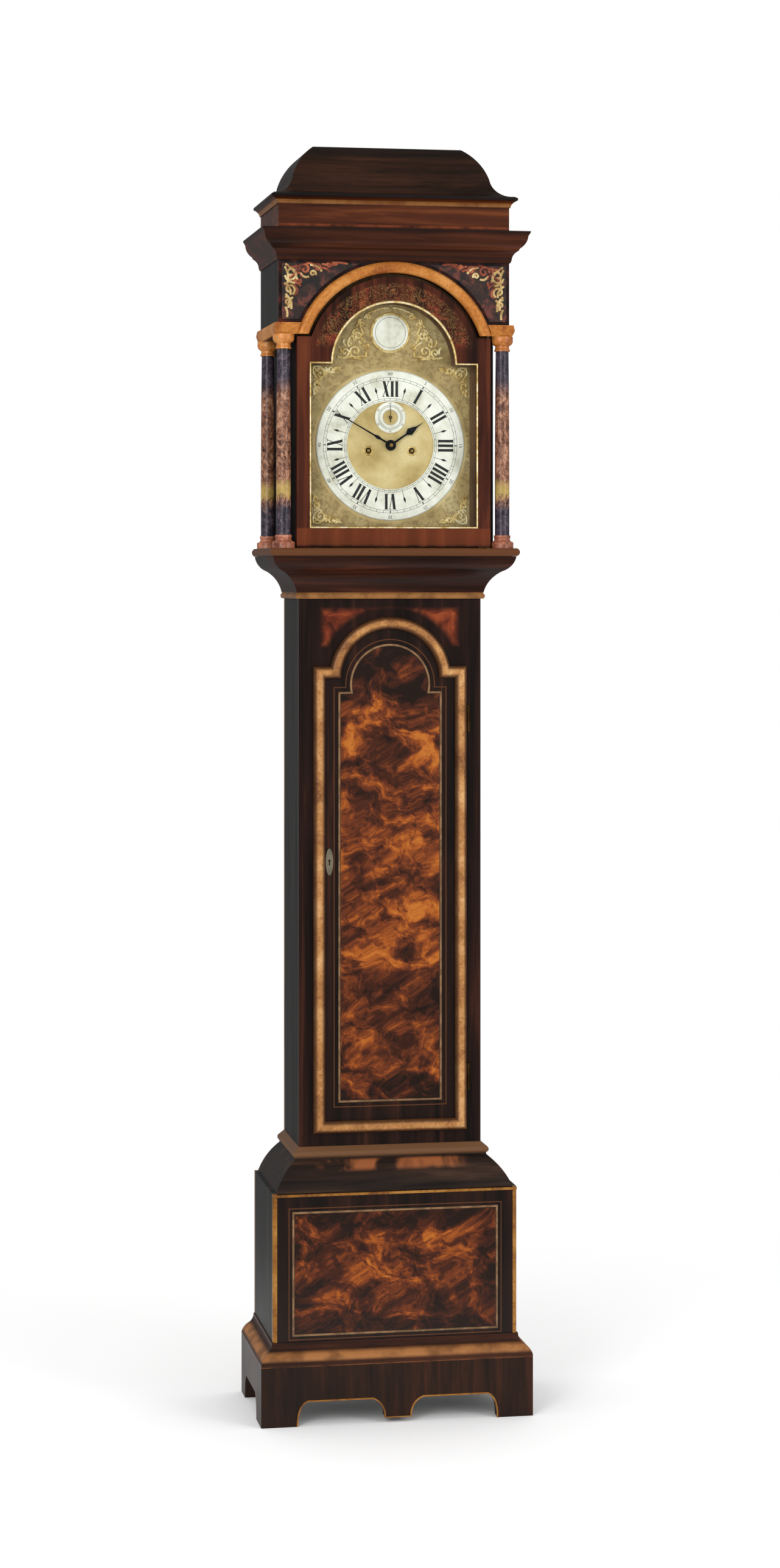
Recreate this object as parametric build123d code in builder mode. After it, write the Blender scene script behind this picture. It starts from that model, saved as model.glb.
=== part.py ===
"""Longcase clock: case, hood, dial, eight-day movement, pendulum and weights. Millimetres, +Z up."""
from build123d import *
from math import cos, pi, radians, sin, sqrt
import os

os.makedirs("parts", exist_ok=True)

# Overall sizes of the case
TRUNK_WIDTH = 344
TRUNK_DEPTH = 190
BASE_STEP = 57
PLINTH_STEP = 25
HOOD_STEP = 45

# Levels of the case, from the floor up
PLINTH_TOP = 109
BASE_BOTTOM = 60
BASE_TOP = 421
TRUNK_FOOT = 380
RIM = 1593

# Levels of the hood, all measured up from the rim of the trunk
SLIDE_GAP = 0.3
HOOD_FLOOR = RIM + 15
CHEEK_TOP = HOOD_FLOOR + 72
IMPOST = HOOD_FLOOR + 394
CORNICE = IMPOST + 137
UPPER_FRIEZE = CORNICE + 57
CADDY_FOOT = UPPER_FRIEZE + 66
CADDY_TOP = CADDY_FOOT + 96
BACKBOARD_TOP = CORNICE + 41

# Boards
BOARD = 15
BACKBOARD = 12
FRONT_FRAME = 20
FLOOR_BOARD = 15
SEATBOARD = 20

# Trunk door
DOOR_STILE = 27
DOOR_HALF = TRUNK_WIDTH / 2 - DOOR_STILE
DOOR_BOTTOM = BASE_TOP + 100
DOOR_SHOULDER = RIM - 205
DOOR_ARCH_CENTRE = DOOR_SHOULDER - 23
DOOR_ARCH = 115
DOOR_LAP = 6
DOOR_GAP = 2
DOOR_MOULDING = 22
DOOR_MOULDING_HEIGHT = 11
HINGE_LEVELS = (DOOR_BOTTOM + 99, DOOR_SHOULDER - 98)
HINGE_HALF_LENGTH = 25
DOOR_PIN_OUT = 3
DOOR_PIN_AHEAD = 4

# Columns
COLUMN_RADIUS = 13.5
COLUMN_OUT = 11
COLUMN_BASE = 24
COLUMN_CAPITAL = 27
BASE_RADIUS = 21

# Dial
DIAL_HALF = 152.5
DIAL_CENTRE = HOOD_FLOOR + 192
DIAL_BOTTOM = DIAL_CENTRE - DIAL_HALF
DIAL_PLATE = 2.5
DIAL_ARCH = 118
CHAPTER_OUTER = 140
CHAPTER_INNER = 82
RING_THICK = 1.8
SECONDS_RISE = 52
SECONDS_OUTER = 29
SECONDS_INNER = 14
HOOD_ARCH_CENTRE = DIAL_CENTRE + 147
BOSS_LEVEL = HOOD_ARCH_CENTRE + 63
BOSS_RADIUS = 34

# Hood door and arch
ARCH_OPENING = 170
ARCH_MOULDING = 21
ARCH_MOULDING_HEIGHT = 12
COLUMN_CLEARANCE = 3
HOOD_DOOR_HALF = TRUNK_WIDTH / 2 + HOOD_STEP - COLUMN_OUT - BASE_RADIUS - COLUMN_CLEARANCE
HOOD_DOOR_FACE = HOOD_STEP - 3
HOOD_DOOR_THICK = 20
HOOD_DOOR_ARCH_GAP = 7
PIVOT_PLATE = 2
PIVOT_LENGTH = 23
SIGHT_HALF = DIAL_HALF + 4.5
SIGHT_BOTTOM = DIAL_BOTTOM - 1.5
SIGHT_SHOULDER = HOOD_ARCH_CENTRE + 3
SIGHT_ARCH = DIAL_ARCH - 1
GLASS_REBATE = 6
GLASS = 2.5
GLASS_FRONT = HOOD_DOOR_FACE - 13.5

# Movement
FRONT_PLATE = -28
PLATE = 4
PLATE_GAP = 66
PLATE_HALF = 70
PLATE_HEIGHT = 195
RUNNING_FIT = 0.06
BARREL_OUT = 41
BARREL_DROP = 10
DRUM_RADIUS = 22
LINE_RADIUS = 0.9
LINE_DEPTH = -65
PULLEY_RADIUS = 22
PULLEY_LEVEL = RIM - 263
WEIGHT_RADIUS = 29
WEIGHT_LENGTH = 182

# Pendulum
PENDULUM_DEPTH = -125
PENDULUM_LENGTH = 994
BOB_RADIUS = 57
BOB_THICK = 26
ROD_RADIUS = 2.5

# Places worked out from the sizes above
TRUNK_HALF = TRUNK_WIDTH / 2
BASE_HALF = TRUNK_HALF + BASE_STEP
PLINTH_HALF = BASE_HALF + PLINTH_STEP
HOOD_HALF = TRUNK_HALF + HOOD_STEP
TOTAL_DEPTH = TRUNK_DEPTH + BASE_STEP + PLINTH_STEP
BACK = TOTAL_DEPTH / 2
INSIDE_BACK = BACKBOARD - TRUNK_DEPTH


def ahead(distance):
    """Y of a plane so far ahead of the trunk's front face."""
    return BACK - TRUNK_DEPTH - distance


def facing(distance, x=0, z=0):
    """Front-view plane: sketch x is X, sketch y is Z, and extrusions come forward."""
    return Plane(origin=(x, ahead(distance), z), x_dir=(1, 0, 0), z_dir=(0, -1, 0))


def keep(piece, name):
    """Label a finished piece and write it as its own file."""
    piece.label = name
    export_step(piece, f"parts/{name}.step")


def block(x_range, ahead_range, z_range):
    """A board between two values of X, two distances ahead of the trunk's face and two levels."""
    with BuildPart() as board:
        with BuildSketch(facing(min(ahead_range))):
            with Locations((sum(x_range) / 2, sum(z_range) / 2)):
                Rectangle(abs(x_range[1] - x_range[0]), z_range[1] - z_range[0])
        extrude(amount=max(ahead_range) - min(ahead_range))
    return board.part


def pair(piece):
    """The piece and its mirror image on the other side of the clock."""
    return Compound(children=[piece, piece.mirror(Plane.YZ)])


def group(*pieces):
    """Separate solids that share one node."""
    return Compound(children=[solid for piece in pieces for solid in piece.solids()])


def break_arch(half, bottom, shoulder, radius, centre):
    """Face with square shoulders and an arch between them."""
    foot = sqrt(radius**2 - (shoulder - centre) ** 2)
    with BuildSketch() as face:
        with BuildLine():
            Polyline((-foot, shoulder), (-half, shoulder), (-half, bottom),
                     (half, bottom), (half, shoulder), (foot, shoulder))
            ThreePointArc((foot, shoulder), (0, centre + radius), (-foot, shoulder))
        make_face()
    return face.sketch


def wrap(outline, half_width, front, back=BACK):
    """A moulding mitred round the front and both sides; its outline is drawn as (out, level)."""
    with BuildPart() as moulding:
        with BuildLine():
            Polyline((-half_width, back, 0), (-half_width, ahead(front), 0),
                     (half_width, ahead(front), 0), (half_width, back, 0))
        with BuildSketch(Plane(origin=(-half_width, back, 0), x_dir=(-1, 0, 0), z_dir=(0, 1, 0))):
            with BuildLine():
                outline()
            make_face()
        sweep(transition=Transition.RIGHT)
    return moulding.part


# Plinth: boards 25 mm thick with bracket feet and a centre pendant
FOOT_WIDTH = 67
REAR_FOOT = 50
FOOT_CURVE = 19
CUT_TOP = 46
PENDANT_HALF = 24
PENDANT_SHOULDER = 47
PENDANT_BOTTOM = 10
PLINTH_FRONT = BASE_STEP + PLINTH_STEP


def bracket_cut():
    """Outline of the opening between the feet, with the pendant hanging in its middle."""
    foot = PLINTH_HALF - FOOT_WIDTH
    inner = foot - FOOT_CURVE
    Line((-foot, 0), (foot, 0))
    Spline((foot, 0), (inner, CUT_TOP), tangents=((0, 1), (-1, 0.4)))
    Line((inner, CUT_TOP), (PENDANT_SHOULDER, CUT_TOP))
    Spline((PENDANT_SHOULDER, CUT_TOP), (PENDANT_HALF, PENDANT_BOTTOM), tangents=((-1, -0.4), (0, -1)))
    Line((PENDANT_HALF, PENDANT_BOTTOM), (-PENDANT_HALF, PENDANT_BOTTOM))
    Spline((-PENDANT_HALF, PENDANT_BOTTOM), (-PENDANT_SHOULDER, CUT_TOP), tangents=((0, 1), (-1, 0.4)))
    Line((-PENDANT_SHOULDER, CUT_TOP), (-inner, CUT_TOP))
    Spline((-inner, CUT_TOP), (-foot, 0), tangents=((-1, -0.4), (0, -1)))


with BuildPart() as plinth_front:
    with BuildSketch(facing(BASE_STEP)):
        with Locations((0, PLINTH_TOP / 2)):
            Rectangle(2 * PLINTH_HALF, PLINTH_TOP)
    extrude(amount=PLINTH_STEP)
    with BuildSketch(facing(BASE_STEP)):
        with BuildLine():
            bracket_cut()
        make_face()
    extrude(amount=PLINTH_STEP, mode=Mode.SUBTRACT)

with BuildPart() as plinth_side:
    with BuildSketch(Plane(origin=(BASE_HALF, 0, 0), x_dir=(0, 1, 0), z_dir=(1, 0, 0))):
        with BuildLine():
            side_front = ahead(BASE_STEP)
            cut_front = ahead(PLINTH_FRONT) + FOOT_WIDTH
            cut_back = BACK - REAR_FOOT
            Polyline((cut_front, 0), (side_front, 0), (side_front, PLINTH_TOP), (BACK, PLINTH_TOP),
                     (BACK, 0), (cut_back, 0))
            Spline((cut_back, 0), (cut_back - FOOT_CURVE, CUT_TOP), tangents=((0, 1), (-1, 0.4)))
            Line((cut_back - FOOT_CURVE, CUT_TOP), (cut_front + FOOT_CURVE, CUT_TOP))
            Spline((cut_front + FOOT_CURVE, CUT_TOP), (cut_front, 0), tangents=((-1, -0.4), (0, -1)))
        make_face()
    extrude(amount=PLINTH_STEP)

keep(group(plinth_front.part, pair(plinth_side.part)), "plinth_boards")

# Plinth moulding: an ogee that steps in from the plinth to the base
PLINTH_MOULDING_TOP = 149


def plinth_outline():
    top = PLINTH_MOULDING_TOP
    Polyline((0, top), (0, PLINTH_TOP), (PLINTH_STEP, PLINTH_TOP), (PLINTH_STEP, PLINTH_TOP + 5))
    ThreePointArc((PLINTH_STEP, PLINTH_TOP + 5), (20, PLINTH_TOP + 15), (10, PLINTH_TOP + 23))
    ThreePointArc((10, PLINTH_TOP + 23), (4, PLINTH_TOP + 30), (2, top - 2))
    Polyline((2, top - 2), (2, top), (0, top))


keep(wrap(plinth_outline, BASE_HALF, BASE_STEP), "plinth_moulding")

# Base: a box of boards with a bead let into each front corner
BEAD = 8

with BuildPart() as base_front:
    with BuildSketch(facing(BASE_STEP - BOARD)):
        with Locations((0, (BASE_BOTTOM + BASE_TOP) / 2)):
            Rectangle(2 * BASE_HALF, BASE_TOP - BASE_BOTTOM)
    extrude(amount=BOARD)
    with BuildSketch(facing(BASE_STEP - BEAD)):
        with Locations((BEAD / 2 - BASE_HALF, (PLINTH_MOULDING_TOP + BASE_TOP) / 2),
                       (BASE_HALF - BEAD / 2, (PLINTH_MOULDING_TOP + BASE_TOP) / 2)):
            Rectangle(BEAD, BASE_TOP - PLINTH_MOULDING_TOP)
    extrude(amount=BEAD, mode=Mode.SUBTRACT)

with BuildPart() as corner_bead:
    with BuildSketch(facing(BASE_STEP - BEAD)):
        with Locations((BASE_HALF - BEAD / 2, (PLINTH_MOULDING_TOP + BASE_TOP) / 2)):
            Rectangle(BEAD, BASE_TOP - PLINTH_MOULDING_TOP)
    extrude(amount=BEAD)
    fillet(corner_bead.edges().filter_by(Axis.Z).group_by(Axis.Y)[0].sort_by(Axis.X)[-1], radius=BEAD * 0.7)

base_side = block((BASE_HALF - BOARD, BASE_HALF), (INSIDE_BACK, BASE_STEP - BOARD), (BASE_BOTTOM, BASE_TOP))
base_floor = block((BOARD - BASE_HALF, BASE_HALF - BOARD), (INSIDE_BACK, BASE_STEP - BOARD),
                   (BASE_BOTTOM, BASE_BOTTOM + FLOOR_BOARD))
keep(base_front.part, "base_front")
keep(pair(corner_bead.part), "base_corner_beads")
keep(group(pair(base_side), base_floor), "base_sides_and_floor")

# Moulding from the base up to the trunk: a large ovolo under a small bead
OVOLO_OUT = BASE_STEP - 7
OVOLO_TOP = BASE_TOP + 53
BASE_MOULDING_TOP = OVOLO_TOP + 23
COLLAR = 9


def base_outline():
    Polyline((0, BASE_MOULDING_TOP), (0, BASE_TOP), (OVOLO_OUT, BASE_TOP))
    ThreePointArc((OVOLO_OUT, BASE_TOP), (OVOLO_OUT - 14, BASE_TOP + 26), (COLLAR, OVOLO_TOP))
    Line((COLLAR, OVOLO_TOP), (COLLAR, OVOLO_TOP + 4))
    ThreePointArc((COLLAR, OVOLO_TOP + 4), (COLLAR + 4, OVOLO_TOP + 10), (COLLAR, OVOLO_TOP + 16))
    Line((COLLAR, OVOLO_TOP + 16), (0, BASE_MOULDING_TOP))


keep(wrap(base_outline, TRUNK_HALF, 0), "base_moulding")

# Backboard: one board, wide in the base and narrow in the trunk and hood
with BuildPart() as backboard:
    with BuildSketch(facing(-TRUNK_DEPTH)):
        with BuildLine():
            Polyline((-BASE_HALF, BASE_BOTTOM), (BASE_HALF, BASE_BOTTOM), (BASE_HALF, BASE_TOP),
                     (TRUNK_HALF, BASE_TOP), (TRUNK_HALF, BACKBOARD_TOP), (-TRUNK_HALF, BACKBOARD_TOP),
                     (-TRUNK_HALF, BASE_TOP), (-BASE_HALF, BASE_TOP), close=True)
        make_face()
    extrude(amount=BACKBOARD)

keep(backboard.part, "backboard")

# Trunk: sides that rise as cheeks to the seatboard, and a front frame of stiles, rail and arched head
OPENING_HALF = DOOR_HALF - DOOR_LAP + DOOR_GAP
OPENING_BOTTOM = DOOR_BOTTOM + DOOR_LAP - DOOR_GAP
OPENING_SHOULDER = DOOR_SHOULDER - DOOR_LAP + DOOR_GAP
OPENING_ARCH = DOOR_ARCH - DOOR_LAP + DOOR_GAP

trunk_side = block((TRUNK_HALF - BOARD, TRUNK_HALF), (INSIDE_BACK, -FRONT_FRAME), (TRUNK_FOOT, CHEEK_TOP))
stile = block((OPENING_HALF, TRUNK_HALF), (-FRONT_FRAME, 0), (TRUNK_FOOT, RIM))
bottom_rail = block((-OPENING_HALF, OPENING_HALF), (-FRONT_FRAME, 0), (TRUNK_FOOT, OPENING_BOTTOM))

with BuildPart() as arch_head:
    with BuildSketch(facing(-FRONT_FRAME)):
        with Locations((0, (OPENING_SHOULDER + RIM) / 2)):
            Rectangle(2 * OPENING_HALF, RIM - OPENING_SHOULDER)
        with Locations((0, DOOR_ARCH_CENTRE)):
            Circle(OPENING_ARCH, mode=Mode.SUBTRACT)
    extrude(amount=FRONT_FRAME)

keep(pair(trunk_side), "trunk_sides")
keep(group(pair(stile), bottom_rail, arch_head.part), "trunk_front_frame")

# Throat moulding: a bead, a hollow and a round that carry the hood
THROAT_FOOT = RIM - 79
THROAT_OUT = HOOD_STEP + 11.5


def throat_outline():
    Polyline((0, RIM), (0, THROAT_FOOT), (4, THROAT_FOOT))
    ThreePointArc((4, THROAT_FOOT), (7, THROAT_FOOT + 5), (4, THROAT_FOOT + 10))
    Line((4, THROAT_FOOT + 10), (5, THROAT_FOOT + 12))
    ThreePointArc((5, THROAT_FOOT + 12), (13.5, RIM - 47), (34, RIM - 28))
    ThreePointArc((34, RIM - 28), (50, RIM - 16), (THROAT_OUT, RIM))
    Line((THROAT_OUT, RIM), (0, RIM))


keep(wrap(throat_outline, TRUNK_HALF, 0), "throat_moulding")

# Trunk door: an arched board with a half-round moulding that laps over the frame
def door_outline(inset):
    """The door's outline, brought in by so much on every side."""
    return break_arch(DOOR_HALF - inset, DOOR_BOTTOM + inset, DOOR_SHOULDER - inset,
                      DOOR_ARCH - inset, DOOR_ARCH_CENTRE)


with BuildPart() as door_board:
    with BuildSketch(facing(-FRONT_FRAME)):
        add(door_outline(DOOR_LAP))
    extrude(amount=FRONT_FRAME + SLIDE_GAP)

with BuildPart() as door_moulding:
    with BuildSketch(facing(SLIDE_GAP)):
        add(door_outline(0))
        add(door_outline(DOOR_MOULDING), mode=Mode.SUBTRACT)
    extrude(amount=DOOR_MOULDING_HEIGHT)
    fillet(door_moulding.faces().sort_by(Axis.Y)[0].edges(), radius=DOOR_MOULDING_HEIGHT * 0.8)

keep(door_board.part, "trunk_door_board")
keep(door_moulding.part, "trunk_door_moulding")

# Trunk door lock: a case behind the left stile, its sliding bolt, and the escutcheon in front
LOCK_LEVEL = (DOOR_BOTTOM + DOOR_SHOULDER) / 2 + 70.5
LOCK_HEIGHT = 50
LOCK_OUTER = 11 - DOOR_HALF
LOCK_INNER = LOCK_OUTER + 34
LOCK_DEPTH = 12
BOLT_HEIGHT = 14
BOLT_THICK = 5
BOLT_LENGTH = 30
BOLT_FIT = 0.3
ESCUTCHEON_X = 30 - DOOR_HALF
ESCUTCHEON_WIDTH = 14
ESCUTCHEON_THICK = 1.5
KEYHOLE = 2.2
lock_back = -FRONT_FRAME - LOCK_DEPTH

with BuildPart() as lock_case:
    with BuildSketch(facing(lock_back)):
        with Locations(((LOCK_OUTER + LOCK_INNER) / 2, LOCK_LEVEL)):
            Rectangle(LOCK_INNER - LOCK_OUTER, LOCK_HEIGHT)
    extrude(amount=LOCK_DEPTH)
    with BuildSketch(facing(lock_back + 2)):
        with Locations((LOCK_OUTER + BOLT_LENGTH / 2, LOCK_LEVEL)):
            Rectangle(BOLT_LENGTH + 2 * BOLT_FIT, BOLT_HEIGHT + 2 * BOLT_FIT)
    extrude(amount=BOLT_THICK + 2 * BOLT_FIT, mode=Mode.SUBTRACT)

lock_bolt = block((LOCK_OUTER - 2, LOCK_OUTER + BOLT_LENGTH - 8),
                  (lock_back + 2 + BOLT_FIT, lock_back + 2 + BOLT_FIT + BOLT_THICK),
                  (LOCK_LEVEL - BOLT_HEIGHT / 2, LOCK_LEVEL + BOLT_HEIGHT / 2))

with BuildPart() as escutcheon:
    with BuildSketch(facing(SLIDE_GAP)):
        with Locations((ESCUTCHEON_X, LOCK_LEVEL)):
            Ellipse(ESCUTCHEON_WIDTH / 2, LOCK_HEIGHT / 2)
        with Locations((ESCUTCHEON_X, LOCK_LEVEL + KEYHOLE)):
            Circle(KEYHOLE, mode=Mode.SUBTRACT)
        with Locations((ESCUTCHEON_X, LOCK_LEVEL - KEYHOLE)):
            Rectangle(KEYHOLE, 4 * KEYHOLE, mode=Mode.SUBTRACT)
    extrude(amount=ESCUTCHEON_THICK)

keep(group(lock_case.part, escutcheon.part), "trunk_lock_and_escutcheon")
keep(lock_bolt, "trunk_lock_bolt")

# Trunk door hinges: lower knuckles with pins on the case, upper knuckles on the door
KNUCKLE = 2.5
HINGE_PIN = 1.2
LEAF = 1.5
LEAF_WIDTH = 4
DOOR_PIN_X = DOOR_HALF + DOOR_PIN_OUT


def knuckle(x, distance, bottom, height, bore):
    """An upright tube, or a solid pin where the bore is nothing."""
    with BuildPart() as tube:
        with BuildSketch(Plane.XY.offset(bottom)):
            with Locations((x, ahead(distance))):
                Circle(KNUCKLE if bore else HINGE_PIN)
                if bore:
                    Circle(bore, mode=Mode.SUBTRACT)
        extrude(amount=height)
    return tube.part


case_hinges = []
door_hinges = []
for level in HINGE_LEVELS:
    low = level - HINGE_HALF_LENGTH
    case_tube = knuckle(DOOR_PIN_X, DOOR_PIN_AHEAD, low, HINGE_HALF_LENGTH - SLIDE_GAP, HINGE_PIN)
    case_leaf = block((DOOR_PIN_X, DOOR_PIN_X + LEAF_WIDTH), (0, LEAF), (low, level - SLIDE_GAP))
    case_web = block((DOOR_PIN_X - LEAF / 2, DOOR_PIN_X + LEAF / 2), (0, DOOR_PIN_AHEAD - KNUCKLE + 0.4),
                     (low, level - SLIDE_GAP))
    pin = knuckle(DOOR_PIN_X, DOOR_PIN_AHEAD, low, 2 * HINGE_HALF_LENGTH, 0)
    case_hinges.append((case_tube + case_leaf + case_web + pin).clean())
    door_tube = knuckle(DOOR_PIN_X, DOOR_PIN_AHEAD, level, HINGE_HALF_LENGTH, HINGE_PIN + RUNNING_FIT)
    door_leaf = block((DOOR_HALF, DOOR_PIN_X - KNUCKLE + 0.4),
                      (DOOR_PIN_AHEAD - LEAF / 2, DOOR_PIN_AHEAD + LEAF / 2),
                      (level, level + HINGE_HALF_LENGTH))
    door_hinges.append((door_tube + door_leaf).clean())

keep(group(*case_hinges), "trunk_hinge_leaves")
keep(group(*door_hinges), "trunk_door_hinges")

# Seatboard across the cheeks, with holes for the gut lines and two hook bolts up to the movement
SEAT_FRONT = -22
SEAT_BACK = -112
LINE_HOLE = 3
BOLT_RADIUS = 3
BOLT_X = 25
seat_top = CHEEK_TOP + SEATBOARD
line_in = BARREL_OUT + DRUM_RADIUS + LINE_RADIUS + 0.1
line_out = line_in + 2 * PULLEY_RADIUS

with BuildPart() as seatboard:
    with BuildSketch(Plane.XY.offset(CHEEK_TOP)):
        with Locations((0, ahead((SEAT_FRONT + SEAT_BACK) / 2))):
            Rectangle(TRUNK_WIDTH, SEAT_FRONT - SEAT_BACK)
        with Locations((line_in, ahead(LINE_DEPTH)), (-line_in, ahead(LINE_DEPTH)),
                       (line_out, ahead(LINE_DEPTH)), (-line_out, ahead(LINE_DEPTH))):
            Circle(LINE_HOLE, mode=Mode.SUBTRACT)
        with Locations((BOLT_X, ahead(LINE_DEPTH)), (-BOLT_X, ahead(LINE_DEPTH))):
            Circle(BOLT_RADIUS + 0.2, mode=Mode.SUBTRACT)
    extrude(amount=SEATBOARD)

with BuildPart() as seat_bolt:
    with BuildSketch(Plane.XY.offset(CHEEK_TOP - 8)):
        with Locations((BOLT_X, ahead(LINE_DEPTH))):
            RegularPolygon(7, 4)
    extrude(amount=8)
    with BuildSketch(Plane.XY.offset(CHEEK_TOP)):
        with Locations((BOLT_X, ahead(LINE_DEPTH))):
            Circle(BOLT_RADIUS)
    extrude(amount=SEATBOARD + 8)

keep(seatboard.part, "seatboard")
keep(pair(seat_bolt.part), "seatboard_bolts")

# Hood: a bottom frame with a rounded lip that slides on the throat moulding
FRAME_INNER = HOOD_STEP - 5
FRAME_LIP = 12


def hood_floor_outline():
    low = RIM + SLIDE_GAP
    Polyline((FRAME_LIP, HOOD_FLOOR), (-FRAME_INNER, HOOD_FLOOR), (-FRAME_INNER, low), (FRAME_LIP, low))
    ThreePointArc((FRAME_LIP, low), (FRAME_LIP + 5, (low + HOOD_FLOOR) / 2), (FRAME_LIP, HOOD_FLOOR))


keep(wrap(hood_floor_outline, HOOD_HALF, HOOD_STEP), "hood_bottom_frame")

# Hood sides, frieze sides and the front board over the arch
SIDE_INNER = HOOD_HALF - 37
SIDE_OUTER = HOOD_HALF - 25
SIDE_FRONT = 18
FRONT_BOARD = 18
front_board_back = HOOD_STEP - FRONT_BOARD

hood_side = block((SIDE_INNER, SIDE_OUTER), (-TRUNK_DEPTH, SIDE_FRONT), (HOOD_FLOOR, UPPER_FRIEZE))
frieze_side = block((SIDE_OUTER, HOOD_HALF), (-TRUNK_DEPTH, front_board_back), (IMPOST, UPPER_FRIEZE))

with BuildPart() as front_board:
    with BuildSketch(facing(front_board_back)):
        with Locations((0, (IMPOST + UPPER_FRIEZE) / 2)):
            Rectangle(2 * HOOD_HALF, UPPER_FRIEZE - IMPOST)
        with Locations((0, HOOD_ARCH_CENTRE)):
            Circle(ARCH_OPENING, mode=Mode.SUBTRACT)
    extrude(amount=FRONT_BOARD)

keep(group(pair(hood_side), pair(frieze_side)), "hood_sides")
keep(front_board.part, "hood_front_board")

# Mask: a thin inner frame just in front of the dial
MASK_BACK = 6
MASK_THICK = 8
MASK_HALF = DIAL_HALF - 2.5
MASK_TOP = CORNICE + 11
MASK_ARCH = DIAL_ARCH - 3

with BuildPart() as mask:
    with BuildSketch(facing(MASK_BACK)):
        with Locations((0, (HOOD_FLOOR + MASK_TOP) / 2)):
            Rectangle(2 * SIDE_INNER, MASK_TOP - HOOD_FLOOR)
        add(break_arch(MASK_HALF, SIGHT_BOTTOM + 3, SIGHT_SHOULDER - 2, MASK_ARCH, HOOD_ARCH_CENTRE),
            mode=Mode.SUBTRACT)
    extrude(amount=MASK_THICK)

keep(mask.part, "hood_mask")

# Arch moulding over the door, and the impost mouldings on which it stands
IMPOST_OUT = 9
IMPOST_HEIGHT = 21
arch_outer = ARCH_OPENING + ARCH_MOULDING

with BuildPart() as arch_moulding:
    with BuildSketch(facing(HOOD_STEP)):
        with Locations((0, HOOD_ARCH_CENTRE)):
            Circle(arch_outer)
            Circle(ARCH_OPENING, mode=Mode.SUBTRACT)
        with Locations((0, IMPOST - arch_outer)):
            Rectangle(3 * arch_outer, 2 * arch_outer, mode=Mode.SUBTRACT)
    extrude(amount=ARCH_MOULDING_HEIGHT)
    fillet(arch_moulding.faces().sort_by(Axis.Y)[0].edges().filter_by(GeomType.CIRCLE),
           radius=ARCH_MOULDING_HEIGHT * 0.7)


def impost_outline():
    top = IMPOST + IMPOST_HEIGHT
    Polyline((IMPOST_OUT - 2, top), (0, top), (0, IMPOST), (IMPOST_OUT / 2, IMPOST))
    ThreePointArc((IMPOST_OUT / 2, IMPOST), (IMPOST_OUT - 2, IMPOST + 5), (IMPOST_OUT, IMPOST + 11))
    Line((IMPOST_OUT, IMPOST + 11), (IMPOST_OUT - 2, top))


with BuildPart() as imposts:
    add(wrap(impost_outline, HOOD_HALF, HOOD_STEP))
    with BuildSketch(facing(HOOD_STEP)):
        with Locations((0, HOOD_ARCH_CENTRE)):
            Circle(arch_outer)
    extrude(amount=2 * IMPOST_OUT, mode=Mode.SUBTRACT)

keep(group(arch_moulding.part, imposts.part), "hood_arch_and_imposts")

# Frets in the two spandrels
FRET = 3
FRET_MARGIN = 6
FRET_REACH = 150

with BuildPart() as fret:
    with BuildSketch(facing(HOOD_STEP)):
        fret_right = HOOD_HALF - FRET_MARGIN
        fret_low = IMPOST + IMPOST_HEIGHT + FRET_MARGIN
        fret_high = CORNICE - FRET_MARGIN
        with Locations((fret_right - FRET_REACH / 2, (fret_low + fret_high) / 2)):
            Rectangle(FRET_REACH, fret_high - fret_low)
        with Locations((0, HOOD_ARCH_CENTRE)):
            Circle(arch_outer + FRET_MARGIN, mode=Mode.SUBTRACT)
    extrude(amount=FRET)

keep(pair(fret.part), "hood_spandrel_frets")


# Cornices, upper frieze and caddy
def lower_cornice_outline():
    Polyline((0, UPPER_FRIEZE + 4), (0, CORNICE), (2, CORNICE), (4, CORNICE + 5))
    ThreePointArc((4, CORNICE + 5), (7, CORNICE + 15), (15, CORNICE + 22))
    Line((15, CORNICE + 22), (17, CORNICE + 26))
    ThreePointArc((17, CORNICE + 26), (26, CORNICE + 35), (30, CORNICE + 48))
    Polyline((30, CORNICE + 48), (34, CORNICE + 55), (34, UPPER_FRIEZE), (0, UPPER_FRIEZE + 4))


def upper_frieze_outline():
    Polyline((0, UPPER_FRIEZE + 4), (0, CADDY_FOOT - 4), (-BOARD, CADDY_FOOT - 4),
             (-BOARD, UPPER_FRIEZE), (-1, UPPER_FRIEZE), (0, UPPER_FRIEZE + 4))


def upper_cornice_outline():
    low = CADDY_FOOT - 20
    Polyline((0, CADDY_FOOT - 4), (0, low), (2, low), (3, low + 4))
    ThreePointArc((3, low + 4), (7, low + 9), (14, low + 13))
    Polyline((14, low + 13), (14, CADDY_FOOT - 3), (9, CADDY_FOOT), (-BOARD, CADDY_FOOT),
             (-BOARD, CADDY_FOOT - 4), (0, CADDY_FOOT - 4))


CADDY_INSIDE = ((96, CADDY_TOP - 12), (66, CADDY_TOP - 30), (45, CADDY_FOOT + 30), (BOARD, CADDY_FOOT))


def caddy_outline():
    """Bell shape: a hollow at the foot and a long round above it, in a wall about 15 mm thick."""
    ThreePointArc((7, CADDY_FOOT), (-21, CADDY_FOOT + 14), (-31, CADDY_FOOT + 35))
    ThreePointArc((-31, CADDY_FOOT + 35), (-46, CADDY_FOOT + 66), (-76, CADDY_TOP))
    Polyline((-76, CADDY_TOP), (-96, CADDY_TOP), *[(-inward, level) for inward, level in CADDY_INSIDE],
             (7, CADDY_FOOT))


dust_top = UPPER_FRIEZE + 4 + BACKBOARD
with BuildPart() as caddy_back:
    with BuildSketch(facing(-TRUNK_DEPTH)):
        with BuildLine():
            right_edge = [(HOOD_HALF - inward, level) for inward, level in CADDY_INSIDE]
            right_edge.append((HOOD_HALF - BOARD, dust_top))
            left_edge = [(-x, level) for x, level in reversed(right_edge)]
            Polyline(*right_edge, *left_edge, close=True)
        make_face()
    extrude(amount=BACKBOARD)

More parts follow.
